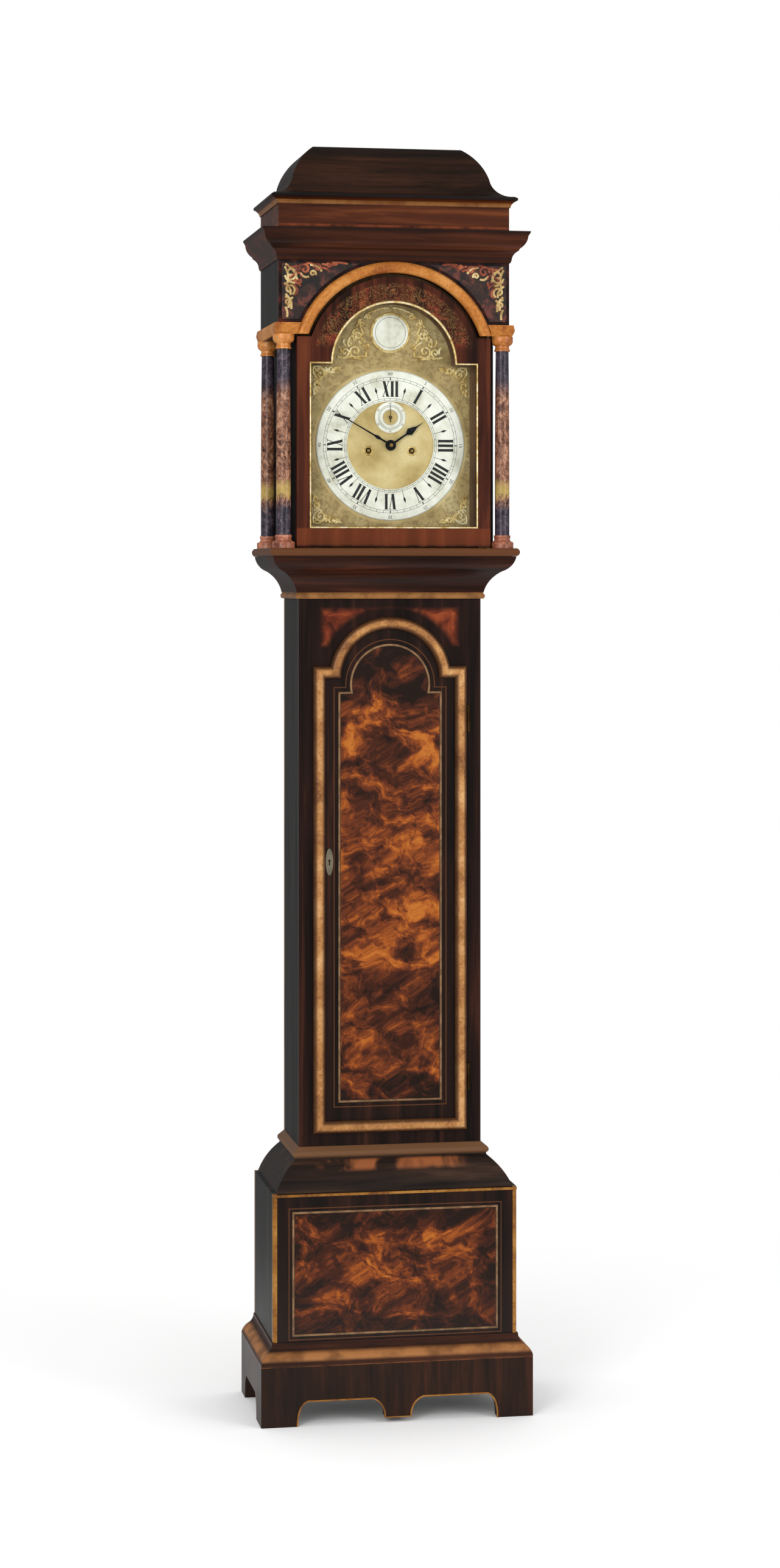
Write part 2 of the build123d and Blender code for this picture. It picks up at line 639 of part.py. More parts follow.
caddy_half = HOOD_HALF - 96
dust_board = block((BOARD - HOOD_HALF, HOOD_HALF - BOARD), (-TRUNK_DEPTH, HOOD_STEP - BOARD),
                   (UPPER_FRIEZE + 4, dust_top))
caddy_lid = block((-caddy_half, caddy_half), (-TRUNK_DEPTH, HOOD_STEP - 96), (CADDY_TOP - 12, CADDY_TOP))
keep(wrap(lower_cornice_outline, HOOD_HALF, HOOD_STEP), "lower_cornice")
upper_parts = [wrap(outline, HOOD_HALF, HOOD_STEP) for outline in (upper_frieze_outline, upper_cornice_outline)]
keep(group(*upper_parts, dust_board), "upper_frieze_and_cornice")
keep(group(wrap(caddy_outline, HOOD_HALF, HOOD_STEP), caddy_lid, caddy_back.part), "caddy")

# Columns with turned bases and capitals: whole at the front, cut back against the sides at the rear
column_x = HOOD_HALF - COLUMN_OUT
front_column = HOOD_STEP - COLUMN_OUT
rear_column = BASE_RADIUS + SLIDE_GAP - TRUNK_DEPTH
shaft_low = HOOD_FLOOR + COLUMN_BASE
shaft_high = IMPOST - COLUMN_CAPITAL


def turned(distance, profile):
    """A piece turned about a column's upright axis, cut clear of the hood's side."""
    with BuildPart() as turning:
        with BuildSketch(Plane(origin=(column_x, ahead(distance), 0), x_dir=(1, 0, 0), z_dir=(0, -1, 0))):
            with BuildLine():
                profile()
            make_face()
        revolve(axis=Axis((column_x, ahead(distance), 0), (0, 0, 1)))
        with BuildSketch(Plane.XY.offset(HOOD_FLOOR)):
            with Locations((SIDE_OUTER + SLIDE_GAP - 2 * BASE_RADIUS, BACK)):
                Rectangle(4 * BASE_RADIUS, 2 * (BACK - ahead(SIDE_FRONT)))
        extrude(amount=IMPOST - HOOD_FLOOR, mode=Mode.SUBTRACT)
    return turning.part


def shaft_profile():
    middle = (shaft_low + shaft_high) / 2
    Polyline((COLUMN_RADIUS - 1.5, shaft_high), (0, shaft_high), (0, shaft_low), (COLUMN_RADIUS, shaft_low))
    Spline((COLUMN_RADIUS, shaft_low), (COLUMN_RADIUS, middle - 40), (COLUMN_RADIUS - 1.5, shaft_high))


def base_profile():
    Polyline((BASE_RADIUS, HOOD_FLOOR + 8), (BASE_RADIUS, HOOD_FLOOR), (0, HOOD_FLOOR), (0, shaft_low),
             (COLUMN_RADIUS + 2, shaft_low), (COLUMN_RADIUS + 2, shaft_low - 4))
    ThreePointArc((COLUMN_RADIUS + 2, shaft_low - 4), (COLUMN_RADIUS + 2, shaft_low - 10),
                  (BASE_RADIUS - 2, shaft_low - 12))
    ThreePointArc((BASE_RADIUS - 2, shaft_low - 12), (BASE_RADIUS, HOOD_FLOOR + 10),
                  (BASE_RADIUS, HOOD_FLOOR + 8))


def capital_profile():
    Polyline((BASE_RADIUS - 1, IMPOST - 8), (BASE_RADIUS - 1, IMPOST), (0, IMPOST), (0, shaft_high),
             (COLUMN_RADIUS + 1, shaft_high), (COLUMN_RADIUS + 1, shaft_high + 3),
             (COLUMN_RADIUS - 0.5, shaft_high + 5), (COLUMN_RADIUS - 0.5, shaft_high + 10))
    ThreePointArc((COLUMN_RADIUS - 0.5, shaft_high + 10), (COLUMN_RADIUS + 4, shaft_high + 13),
                  (BASE_RADIUS - 1, IMPOST - 8))


column_rows = (front_column, rear_column)
keep(group(*[pair(turned(row, shaft_profile)) for row in column_rows]), "hood_columns")
ends = [pair(turned(row, profile)) for row in column_rows for profile in (base_profile, capital_profile)]
keep(group(*ends), "column_bases_and_capitals")

# Hood door: a break-arch frame with the glass in a rebate behind, turning on brass pivots
DOOR_FLOOR = HOOD_FLOOR + 1 + PIVOT_PLATE
DOOR_TOP = IMPOST - 2 - PIVOT_PLATE
hood_door_back = HOOD_DOOR_FACE - HOOD_DOOR_THICK
door_arch = ARCH_OPENING - HOOD_DOOR_ARCH_GAP
PIVOT_X = HOOD_DOOR_HALF - 4
PIVOT_AHEAD = HOOD_DOOR_FACE - 4
PIVOT_PIN = 2


def sight(margin):
    """The glazed opening, let out by a margin."""
    return break_arch(SIGHT_HALF + margin, SIGHT_BOTTOM - margin, SIGHT_SHOULDER + margin,
                      SIGHT_ARCH + margin, HOOD_ARCH_CENTRE)


with BuildPart() as hood_door:
    with BuildSketch(facing(hood_door_back)):
        add(break_arch(HOOD_DOOR_HALF, DOOR_FLOOR, DOOR_TOP, door_arch, HOOD_ARCH_CENTRE))
        add(sight(0), mode=Mode.SUBTRACT)
    extrude(amount=HOOD_DOOR_THICK)
    with BuildSketch(facing(hood_door_back)):
        add(sight(GLASS_REBATE))
    extrude(amount=GLASS_FRONT - hood_door_back, mode=Mode.SUBTRACT)

with BuildPart() as hood_glass:
    with BuildSketch(facing(GLASS_FRONT - GLASS)):
        add(sight(GLASS_REBATE - SLIDE_GAP))
    extrude(amount=GLASS)

plates = []
for low in (HOOD_FLOOR + 1, DOOR_TOP):
    with BuildPart() as pivot_plate:
        with BuildSketch(Plane.XY.offset(low)):
            with Locations((HOOD_DOOR_HALF - PIVOT_LENGTH / 2, ahead(HOOD_DOOR_FACE - HOOD_DOOR_THICK / 2))):
                Rectangle(PIVOT_LENGTH, HOOD_DOOR_THICK)
            with Locations((PIVOT_X, ahead(PIVOT_AHEAD))):
                Circle(PIVOT_PIN + RUNNING_FIT, mode=Mode.SUBTRACT)
        extrude(amount=PIVOT_PLATE)
    plates.append(pivot_plate.part)

pins = []
for low in (HOOD_FLOOR, DOOR_TOP + 0.2):
    with BuildPart() as pivot_pin:
        with BuildSketch(Plane.XY.offset(low)):
            with Locations((PIVOT_X, ahead(PIVOT_AHEAD))):
                Circle(PIVOT_PIN)
        extrude(amount=PIVOT_PLATE + 0.8 if low == HOOD_FLOOR else IMPOST - low)
    pins.append(pivot_pin.part)

keep(hood_door.part, "hood_door_frame")
keep(hood_glass.part, "hood_door_glass")
keep(group(*plates), "hood_door_pivot_plates")
keep(group(*pins), "hood_pivot_pins")

# Dial: plate with its arch, silvered rings and boss, and cast spandrels
WINDING_HOLE = 5.5
CENTRE_HOLE = 6
ESCAPE_LEVEL = DIAL_CENTRE + SECONDS_RISE
BARREL_LEVEL = DIAL_CENTRE - BARREL_DROP
DIAL_SHOULDER = DIAL_CENTRE + DIAL_HALF
SPANDREL = 1.5
SPANDREL_SIZE = 58

with BuildPart() as dial_plate:
    with BuildSketch(facing(-DIAL_PLATE)):
        add(break_arch(DIAL_HALF, DIAL_BOTTOM, DIAL_SHOULDER, DIAL_ARCH, HOOD_ARCH_CENTRE))
        with Locations((0, DIAL_CENTRE)):
            Circle(CENTRE_HOLE, mode=Mode.SUBTRACT)
        with Locations((0, ESCAPE_LEVEL)):
            Circle(2, mode=Mode.SUBTRACT)
        with Locations((BARREL_OUT, BARREL_LEVEL), (-BARREL_OUT, BARREL_LEVEL)):
            Circle(WINDING_HOLE, mode=Mode.SUBTRACT)
    extrude(amount=DIAL_PLATE)


def ring(level, outer, inner):
    """A flat silvered ring, or a disc where inner is nothing, on the face of the dial."""
    with BuildPart() as flat:
        with BuildSketch(facing(0)):
            with Locations((0, level)):
                Circle(outer)
                if inner:
                    Circle(inner, mode=Mode.SUBTRACT)
        extrude(amount=RING_THICK)
        if not inner:
            fillet(flat.edges().sort_by(Axis.Y)[0], radius=RING_THICK * 0.8)
    return flat.part


def corner_spandrel(side, low):
    """A casting that fills one corner of the dial outside the chapter ring."""
    with BuildPart() as casting:
        with BuildSketch(facing(0)):
            with Locations((side * (DIAL_HALF - 3 - SPANDREL_SIZE / 2), low + SPANDREL_SIZE / 2)):
                Rectangle(SPANDREL_SIZE, SPANDREL_SIZE)
            with Locations((0, DIAL_CENTRE)):
                Circle(CHAPTER_OUTER + 3, mode=Mode.SUBTRACT)
        extrude(amount=SPANDREL)
    return casting.part


def arch_spandrel(side):
    """A casting beside the boss in the arch of the dial."""
    with BuildPart() as casting:
        with BuildSketch(facing(0, 0, HOOD_ARCH_CENTRE)):
            with BuildLine():
                Polyline((side * 42, 15), (side * 104, 15))
                ThreePointArc((side * 104, 15), (side * 84, 73), (side * 46, 99))
                ThreePointArc((side * 46, 99), (side * 52, 57), (side * 42, 15))
            make_face()
        extrude(amount=SPANDREL)
    return casting.part


corner_lows = (DIAL_BOTTOM + 3, DIAL_SHOULDER - 3 - SPANDREL_SIZE)
corners = [corner_spandrel(side, low) for side in (-1, 1) for low in corner_lows]
keep(dial_plate.part, "dial_plate")
keep(group(ring(DIAL_CENTRE, CHAPTER_OUTER, CHAPTER_INNER), ring(ESCAPE_LEVEL, SECONDS_OUTER, SECONDS_INNER),
           ring(BOSS_LEVEL, BOSS_RADIUS, 0)), "dial_rings")
keep(group(*corners, arch_spandrel(-1), arch_spandrel(1)), "dial_spandrels")

# Movement frame: two plates, five pillars, four dial feet and the stud of the minute wheel
plate_low = CHEEK_TOP + SEATBOARD
plate_high = plate_low + PLATE_HEIGHT
front_inner = FRONT_PLATE - PLATE
back_inner = front_inner - PLATE_GAP
back_outer = back_inner - PLATE
THIRD_X = 8
THIRD_LEVEL = DIAL_CENTRE + SECONDS_RISE / 2
ESCAPE_RADIUS = 20
ANCHOR_LEVEL = ESCAPE_LEVEL + ESCAPE_RADIUS * sqrt(2)
HAMMER_X = -50
HAMMER_LEVEL = DIAL_CENTRE + 64
MOTION_DISTANCE = 27
MINUTE_X = -MOTION_DISTANCE * cos(radians(45))
MINUTE_LEVEL = DIAL_CENTRE - MOTION_DISTANCE * sin(radians(45))
BARREL_ARBOR = 4
CENTRE_ARBOR = 2
THIRD_ARBOR = 1.5
ESCAPE_ARBOR = 1.2
PILLAR = 5
PILLARS = ((-50, plate_low + 12), (50, plate_low + 12), (-64, plate_high - 10), (64, plate_high - 10),
           (0, plate_low + 12))
DIAL_FEET = ((-58, DIAL_CENTRE - 84), (58, DIAL_CENTRE - 84), (-60, DIAL_CENTRE + 74),
             (60, DIAL_CENTRE + 74))
PIVOTS = ((BARREL_OUT, BARREL_LEVEL, BARREL_ARBOR), (-BARREL_OUT, BARREL_LEVEL, BARREL_ARBOR),
          (0, DIAL_CENTRE, CENTRE_ARBOR), (THIRD_X, THIRD_LEVEL, THIRD_ARBOR),
          (0, ESCAPE_LEVEL, ESCAPE_ARBOR), (0, ANCHOR_LEVEL, THIRD_ARBOR),
          (HAMMER_X, HAMMER_LEVEL, CENTRE_ARBOR))


def rod(x, level, back, front, radius, bore=0):
    """A round rod or pipe lying front to back."""
    with BuildPart() as bar:
        with BuildSketch(facing(back, x, level)):
            Circle(radius)
            if bore:
                Circle(bore, mode=Mode.SUBTRACT)
        extrude(amount=front - back)
    return bar.part


def movement_plate(back):
    """A plate with a hole for every pivot."""
    with BuildPart() as plate:
        with BuildSketch(facing(back)):
            with Locations((0, (plate_low + plate_high) / 2)):
                Rectangle(2 * PLATE_HALF, PLATE_HEIGHT)
            for x, level, pivot in PIVOTS:
                with Locations((x, level)):
                    Circle(pivot + RUNNING_FIT, mode=Mode.SUBTRACT)
        extrude(amount=PLATE)
    return plate.part


pillars = [rod(x, level, back_inner, front_inner, PILLAR) for x, level in PILLARS]
feet = [rod(x, level, FRONT_PLATE, -DIAL_PLATE, PILLAR * 0.7) for x, level in DIAL_FEET]
minute_stud = rod(MINUTE_X, MINUTE_LEVEL, FRONT_PLATE, FRONT_PLATE + 12, THIRD_ARBOR)
keep(group(movement_plate(front_inner), movement_plate(back_outer), *pillars, *feet, minute_stud),
     "movement_frame")


# Wheels: toothed discs, crossed out with round holes. Their tips stay clear of the pinions by MESH_GAP
MESH_GAP = 0.15


def toothed(x, level, back, thick, teeth, tip, depth, bore=0):
    """A toothed disc; large ones are lightened with six round holes."""
    points = []
    for tooth in range(teeth):
        for share, reach in ((0, tip - depth), (0.45, tip - depth), (0.6, tip), (0.85, tip)):
            turn = 2 * pi * (tooth + share) / teeth
            points.append((reach * cos(turn), reach * sin(turn)))
    with BuildPart() as disc:
        with BuildSketch(facing(back, x, level)):
            with BuildLine():
                Polyline(*points, close=True)
            make_face()
            if bore:
                Circle(bore, mode=Mode.SUBTRACT)
            if tip > 4 * BARREL_ARBOR:
                with PolarLocations(tip * 0.6, 6):
                    Circle(tip * 0.2, mode=Mode.SUBTRACT)
        extrude(amount=thick)
    return disc.part


def barrel(x, drum_back, drum_front, wheel_back):
    """Arbor with a winding square, drum and great wheel, all turning together."""
    arbor = rod(x, BARREL_LEVEL, back_outer, FRONT_PLATE + 14, BARREL_ARBOR)
    drum = rod(x, BARREL_LEVEL, drum_back, drum_front, DRUM_RADIUS)
    great_wheel = toothed(x, BARREL_LEVEL, wheel_back, WHEEL, 96, GREAT_TIP, 1.3)
    with BuildPart() as square:
        with BuildSketch(facing(FRONT_PLATE + 14, x, BARREL_LEVEL)):
            Rectangle(5, 5)
        extrude(amount=15)
    return (arbor + drum + great_wheel + square.part).clean()


WHEEL = 3
THIN_WHEEL = 2
GREAT_TIP = 39.2
TRAIN_TIP = 24.6
centre_distance = sqrt(BARREL_OUT**2 + BARREL_DROP**2)
train_distance = sqrt(THIRD_X**2 + (THIRD_LEVEL - DIAL_CENTRE) ** 2)
train_pinion = train_distance - TRAIN_TIP - MESH_GAP
keep(barrel(BARREL_OUT, back_inner + 12, front_inner - 15, front_inner - 15), "going_barrel")
keep(barrel(-BARREL_OUT, back_inner + 9, front_inner - 18, back_inner + 6), "strike_barrel")

centre_pinion = centre_distance - GREAT_TIP - MESH_GAP
centre_wheel = (rod(0, DIAL_CENTRE, back_outer, 15, CENTRE_ARBOR)
                + toothed(0, DIAL_CENTRE, front_inner - 8, THIN_WHEEL, 60, TRAIN_TIP, 1.5)
                + toothed(0, DIAL_CENTRE, front_inner - 17, 7, 8, centre_pinion, 0.5))
third_wheel = (rod(THIRD_X, THIRD_LEVEL, back_outer, FRONT_PLATE, THIRD_ARBOR)
               + toothed(THIRD_X, THIRD_LEVEL, front_inner - 28, THIN_WHEEL, 56, TRAIN_TIP, 1.5)
               + toothed(THIRD_X, THIRD_LEVEL, front_inner - 10, 6, 8, train_pinion, 0.7))
escape_wheel = (rod(0, ESCAPE_LEVEL, back_outer, 4.5, ESCAPE_ARBOR)
                + toothed(0, ESCAPE_LEVEL, front_inner - 44, THIN_WHEEL, 30, ESCAPE_RADIUS, 3)
                + toothed(0, ESCAPE_LEVEL, front_inner - 31, 8, 7, train_pinion, 0.7))
keep(centre_wheel.clean(), "centre_wheel")
keep(third_wheel.clean(), "third_wheel")
keep(escape_wheel.clean(), "escape_wheel")

# Motion work behind the dial: cannon, minute wheel and hour wheel, whose pipes carry the hands
MOTION_BACK = FRONT_PLATE + 3
MOTION_WHEEL = 1.5
CANNON_PIPE = 3.4
HOUR_PIPE = 5.4
HOUR_TIP = 24.4
HOUR_HAND_AT = 5
MINUTE_HAND_AT = 10
hour_back = MOTION_BACK + 5
cannon_tip = MOTION_DISTANCE / 2 - MESH_GAP
cannon_front = MINUTE_HAND_AT + 3
cannon_wheel = (rod(0, DIAL_CENTRE, MOTION_BACK, cannon_front, CANNON_PIPE, CENTRE_ARBOR + RUNNING_FIT)
                + toothed(0, DIAL_CENTRE, MOTION_BACK, MOTION_WHEEL, 36, cannon_tip, 1,
                          CENTRE_ARBOR + RUNNING_FIT))
minute_wheel = (toothed(MINUTE_X, MINUTE_LEVEL, MOTION_BACK, MOTION_WHEEL, 36, cannon_tip, 1,
                        THIRD_ARBOR + RUNNING_FIT)
                + toothed(MINUTE_X, MINUTE_LEVEL, MOTION_BACK + MOTION_WHEEL, 6, 6,
                          MOTION_DISTANCE - HOUR_TIP - MESH_GAP, 0.5, THIRD_ARBOR + RUNNING_FIT))
hour_wheel = (rod(0, DIAL_CENTRE, hour_back, HOUR_HAND_AT + 2.5, HOUR_PIPE, CANNON_PIPE + RUNNING_FIT)
              + toothed(0, DIAL_CENTRE, hour_back, MOTION_WHEEL, 72, HOUR_TIP, 1, CANNON_PIPE + RUNNING_FIT))
keep(cannon_wheel.clean(), "cannon_wheel")
keep(minute_wheel.clean(), "minute_wheel")
keep(hour_wheel.clean(), "hour_wheel")

# Hands, set to ten minutes to two
MINUTES = 50
HOUR = 1
HAND = 1.5


def hand(angle, distance, level, outline, hub, bore, thick=HAND):
    """A pierced hand pointing clockwise from twelve by angle; its outline is drawn pointing up."""
    turn = radians(angle)
    plane = Plane(origin=(0, ahead(distance), level), x_dir=(cos(turn), 0, -sin(turn)), z_dir=(0, -1, 0))
    with BuildPart() as blade:
        with BuildSketch(plane):
            with BuildLine():
                outline()
            make_face()
            Circle(hub)
            Circle(bore, mode=Mode.SUBTRACT)
        extrude(amount=thick)
    return blade.part


def hour_outline():
    """Arm, a wide waisted head and a point, 78 mm long."""
    Polyline((-2, 0), (-1.6, 36), (-7, 44), (-4, 54), (-1.4, 60), (0, 78),
             (1.4, 60), (4, 54), (7, 44), (1.6, 36), (2, 0), close=True)


def minute_outline():
    """Slender arm with a small swelling near the root, 130 mm long."""
    Polyline((-1.8, 0), (-1.6, 22), (-3.6, 29), (-1.4, 37), (-0.7, 112), (0, 130),
             (0.7, 112), (1.4, 37), (3.6, 29), (1.6, 22), (1.8, 0), close=True)


def seconds_outline():
    Polyline((-0.9, -9), (-0.5, 0), (-0.3, 18), (0, 25), (0.3, 18), (0.5, 0), (0.9, -9), close=True)


keep(hand(30 * HOUR + MINUTES / 2, HOUR_HAND_AT, DIAL_CENTRE, hour_outline, 10, HOUR_PIPE), "hour_hand")
keep(hand(6 * MINUTES, MINUTE_HAND_AT, DIAL_CENTRE, minute_outline, 8, CANNON_PIPE), "minute_hand")
keep(hand(0, 2.8, ESCAPE_LEVEL, seconds_outline, 3, ESCAPE_ARBOR, 0.8), "seconds_hand")

# Anchor with its arbor and crutch; the pallets stand clear of the wheel by their swing
CRUTCH_AT = back_outer - 10
CRUTCH_LOW = DIAL_CENTRE - 14
FORK_FIT = 0.5

with BuildPart() as anchor:
    with BuildSketch(facing(front_inner - 44)):
        with BuildLine():
            Polyline((0, ANCHOR_LEVEL + 5), (20, ANCHOR_LEVEL - 4), (21, ANCHOR_LEVEL - 10),
                     (16.2, ANCHOR_LEVEL - 14), (12, ANCHOR_LEVEL - 7), (0, ANCHOR_LEVEL - 4),
                     (-12, ANCHOR_LEVEL - 7), (-16.2, ANCHOR_LEVEL - 14), (-21, ANCHOR_LEVEL - 10),
                     (-20, ANCHOR_LEVEL - 4), close=True)
        make_face()
    extrude(amount=THIN_WHEEL)
    with BuildSketch(facing(CRUTCH_AT)):
        with Locations((0, ANCHOR_LEVEL)):
            Circle(4)
        with Locations((0, (ANCHOR_LEVEL + CRUTCH_LOW) / 2)):
            Rectangle(4, ANCHOR_LEVEL - CRUTCH_LOW)
        with Locations((0, CRUTCH_LOW + 3)):
            Rectangle(2 * (ROD_RADIUS + FORK_FIT + 2), 6)
    extrude(amount=3)
    with BuildSketch(facing(PENDULUM_DEPTH - 4)):
        with Locations((ROD_RADIUS + FORK_FIT + 1, CRUTCH_LOW + 3),
                       (-ROD_RADIUS - FORK_FIT - 1, CRUTCH_LOW + 3)):
            Rectangle(2, 6)
    extrude(amount=CRUTCH_AT - PENDULUM_DEPTH + 4)

anchor_arbor = rod(0, ANCHOR_LEVEL, CRUTCH_AT, FRONT_PLATE, THIRD_ARBOR)
keep((anchor.part + anchor_arbor).clean(), "anchor")

# Back cock: a bridge on two legs with the stud from which the pendulum hangs
COCK_LEG = 24
STUD_LOW = ANCHOR_LEVEL + 3.7
SUSPENSION_GAP = 0.3
cock_back = PENDULUM_DEPTH - 7
cock_bridge = block((-COCK_LEG - 6, COCK_LEG + 6), (cock_back, cock_back + 3),
                    (ANCHOR_LEVEL - 6, ANCHOR_LEVEL + 16))
cock_stud = block((-5, 5), (cock_back + 3, PENDULUM_DEPTH + 4), (STUD_LOW, STUD_LOW + 8))
cock_legs = [rod(side * COCK_LEG, ANCHOR_LEVEL, cock_back + 3, back_outer, 3.5) for side in (-1, 1)]
keep((cock_bridge + cock_stud + cock_legs[0] + cock_legs[1]).clean(), "back_cock")

# Pendulum: suspension spring and rod, lens-shaped bob, rating nut
BOB_LEVEL = ANCHOR_LEVEL - PENDULUM_LENGTH
BOB_EDGE = 2
SPRING_HALF = 4
SPRING_THICK = 0.4
ROD_TOP = DIAL_CENTRE + 40
NUT_RADIUS = 8
NUT_HEIGHT = 7
nut_top = BOB_LEVEL - BOB_RADIUS - 0.5
rod_low = nut_top - NUT_HEIGHT - 6

with BuildPart() as pendulum_rod:
    with BuildSketch(Plane.XY.offset(rod_low)):
        with Locations((0, ahead(PENDULUM_DEPTH))):
            Circle(ROD_RADIUS)
    extrude(amount=ROD_TOP - rod_low)
    with BuildSketch(Plane.XY.offset(ROD_TOP - 4)):
        with Locations((0, ahead(PENDULUM_DEPTH))):
            Rectangle(2 * SPRING_HALF + 2, 6)
    extrude(amount=12)
    with BuildSketch(Plane.XY.offset(ROD_TOP)):
        with Locations((0, ahead(PENDULUM_DEPTH))):
            Rectangle(2 * SPRING_HALF, SPRING_THICK)
    extrude(amount=STUD_LOW - SUSPENSION_GAP - ROD_TOP)

with BuildPart() as bob:
    with BuildSketch(Plane(origin=(0, ahead(PENDULUM_DEPTH), BOB_LEVEL), x_dir=(0, 0, 1), z_dir=(1, 0, 0))):
        with BuildLine():
            half = BOB_THICK / 2
            rim = BOB_EDGE / 2
            mid = BOB_RADIUS / 2
            face_radius = (BOB_RADIUS**2 + (half - rim) ** 2) / (2 * (half - rim))
            mid_half = half - face_radius + sqrt(face_radius**2 - mid**2)
            Line((BOB_RADIUS, rim), (BOB_RADIUS, -rim))
            ThreePointArc((BOB_RADIUS, -rim), (mid, -mid_half), (0, -half))
            Line((0, -half), (0, half))
            ThreePointArc((0, half), (mid, mid_half), (BOB_RADIUS, rim))
        make_face()
    revolve(axis=Axis((0, ahead(PENDULUM_DEPTH), BOB_LEVEL), (0, 1, 0)))
    with BuildSketch(Plane.XY.offset(BOB_LEVEL - BOB_RADIUS - 1)):
        with Locations((0, ahead(PENDULUM_DEPTH))):
            Circle(ROD_RADIUS + RUNNING_FIT)
    extrude(amount=2 * BOB_RADIUS + 2, mode=Mode.SUBTRACT)

with BuildPart() as rating_nut:
    with BuildSketch(Plane.XY.offset(nut_top - NUT_HEIGHT)):
        with Locations((0, ahead(PENDULUM_DEPTH))):
            RegularPolygon(NUT_RADIUS, 12)
            Circle(ROD_RADIUS + RUNNING_FIT, mode=Mode.SUBTRACT)
    extrude(amount=NUT_HEIGHT)

keep(pendulum_rod.part, "pendulum_rod")
keep(bob.part, "pendulum_bob")
keep(rating_nut.part, "rating_nut")

# Bell on its stand, and the hammer that strikes its rim
BELL_RADIUS = 46
BELL_LOW = DIAL_CENTRE + 125
BELL_TOP = BELL_LOW + 33
BELL_WALL = 3
STAND_X = 50
STAND_LOW = DIAL_CENTRE + 50
STAND_TOP = BELL_TOP + 18

with BuildPart() as bell:
    with BuildSketch(facing(LINE_DEPTH)):
        with BuildLine():
            bell_waist = BELL_TOP - 24
            outer_waist = BELL_RADIUS - 2
            inner_waist = outer_waist - BELL_WALL
            Polyline((0, BELL_TOP - BELL_WALL), (0, BELL_TOP), (18, BELL_TOP))
            ThreePointArc((18, BELL_TOP), (36, BELL_TOP - 9), (outer_waist, bell_waist))
            Polyline((outer_waist, bell_waist), (BELL_RADIUS, BELL_LOW), (BELL_RADIUS - BELL_WALL, BELL_LOW),
                     (inner_waist, bell_waist))
            ThreePointArc((inner_waist, bell_waist), (34, BELL_TOP - 11), (17, BELL_TOP - BELL_WALL))
            Line((17, BELL_TOP - BELL_WALL), (0, BELL_TOP - BELL_WALL))
        make_face()
    revolve(axis=Axis((0, ahead(LINE_DEPTH), 0), (0, 0, 1)))

stand_back = back_outer - PLATE
stand = (block((STAND_X - 4, STAND_X + 4), (stand_back, back_outer), (STAND_LOW, STAND_TOP))
         + block((-4, STAND_X + 4), (stand_back, back_outer), (STAND_TOP - 8, STAND_TOP))
         + block((-4, 4), (stand_back, LINE_DEPTH + 5), (STAND_TOP - 8, STAND_TOP)))

with BuildPart() as bell_screw:
    with BuildSketch(Plane.XY.offset(BELL_TOP)):
        with Locations((0, ahead(LINE_DEPTH))):
            Circle(3)
    extrude(amount=STAND_TOP - 8 - BELL_TOP)

keep(group(bell.part, (stand + bell_screw.part).clean()), "bell_and_stand")

hammer = (rod(HAMMER_X, HAMMER_LEVEL, back_outer, FRONT_PLATE, CENTRE_ARBOR)
          + block((HAMMER_X - 2, HAMMER_X + 2), (LINE_DEPTH - 2, LINE_DEPTH + 2),
                  (HAMMER_LEVEL, BELL_LOW + 8))
          + block((HAMMER_X - 11, -2 - BELL_RADIUS), (LINE_DEPTH - 5, LINE_DEPTH + 5),
                  (BELL_LOW + 2, BELL_LOW + 14)))
keep(hammer.clean(), "hammer")

# Gut lines: from each drum down through the seatboard, round the pulley and up to a knot on the seatboard.
# The ends above the middle of the seatboard stay still, so they are pieces of their own
KNOT = 4
line_split = CHEEK_TOP + SEATBOARD / 2


def upright(x, low, high):
    """A straight upright piece of the line."""
    with BuildPart() as gut:
        with BuildSketch(Plane.XY.offset(low)):
            with Locations((x, ahead(LINE_DEPTH))):
                Circle(LINE_RADIUS)
        extrude(amount=high - low)
    return gut.part


with BuildPart() as going_gut:
    with BuildLine():
        y = ahead(LINE_DEPTH)
        Line((line_in, y, line_split), (line_in, y, PULLEY_LEVEL))
        ThreePointArc((line_in, y, PULLEY_LEVEL), (line_in + PULLEY_RADIUS, y, PULLEY_LEVEL - PULLEY_RADIUS),
                      (line_out, y, PULLEY_LEVEL))
        Line((line_out, y, PULLEY_LEVEL), (line_out, y, line_split))
    with BuildSketch(Plane(origin=(line_in, y, line_split), x_dir=(1, 0, 0), z_dir=(0, 0, -1))):
        Circle(LINE_RADIUS)
    sweep()

with BuildPart() as knotted_end:
    add(upright(line_out, line_split, seat_top + KNOT))
    with Locations((line_out, ahead(LINE_DEPTH), seat_top + KNOT)):
        Sphere(KNOT)

keep(going_gut.part, "going_gut_line")
keep(going_gut.part.mirror(Plane.YZ), "strike_gut_line")
keep(group(pair(upright(line_in, line_split, BARREL_LEVEL)), pair(knotted_end.part)), "gut_line_ends")

# Weights: a brass-cased cylinder hung by a hook from a pulley in its stirrup
PULLEY_THICK = 6
STIRRUP = 2
HOOK_RADIUS = 2
weight_top = PULLEY_LEVEL - 68
pulley_x = line_in + PULLEY_RADIUS


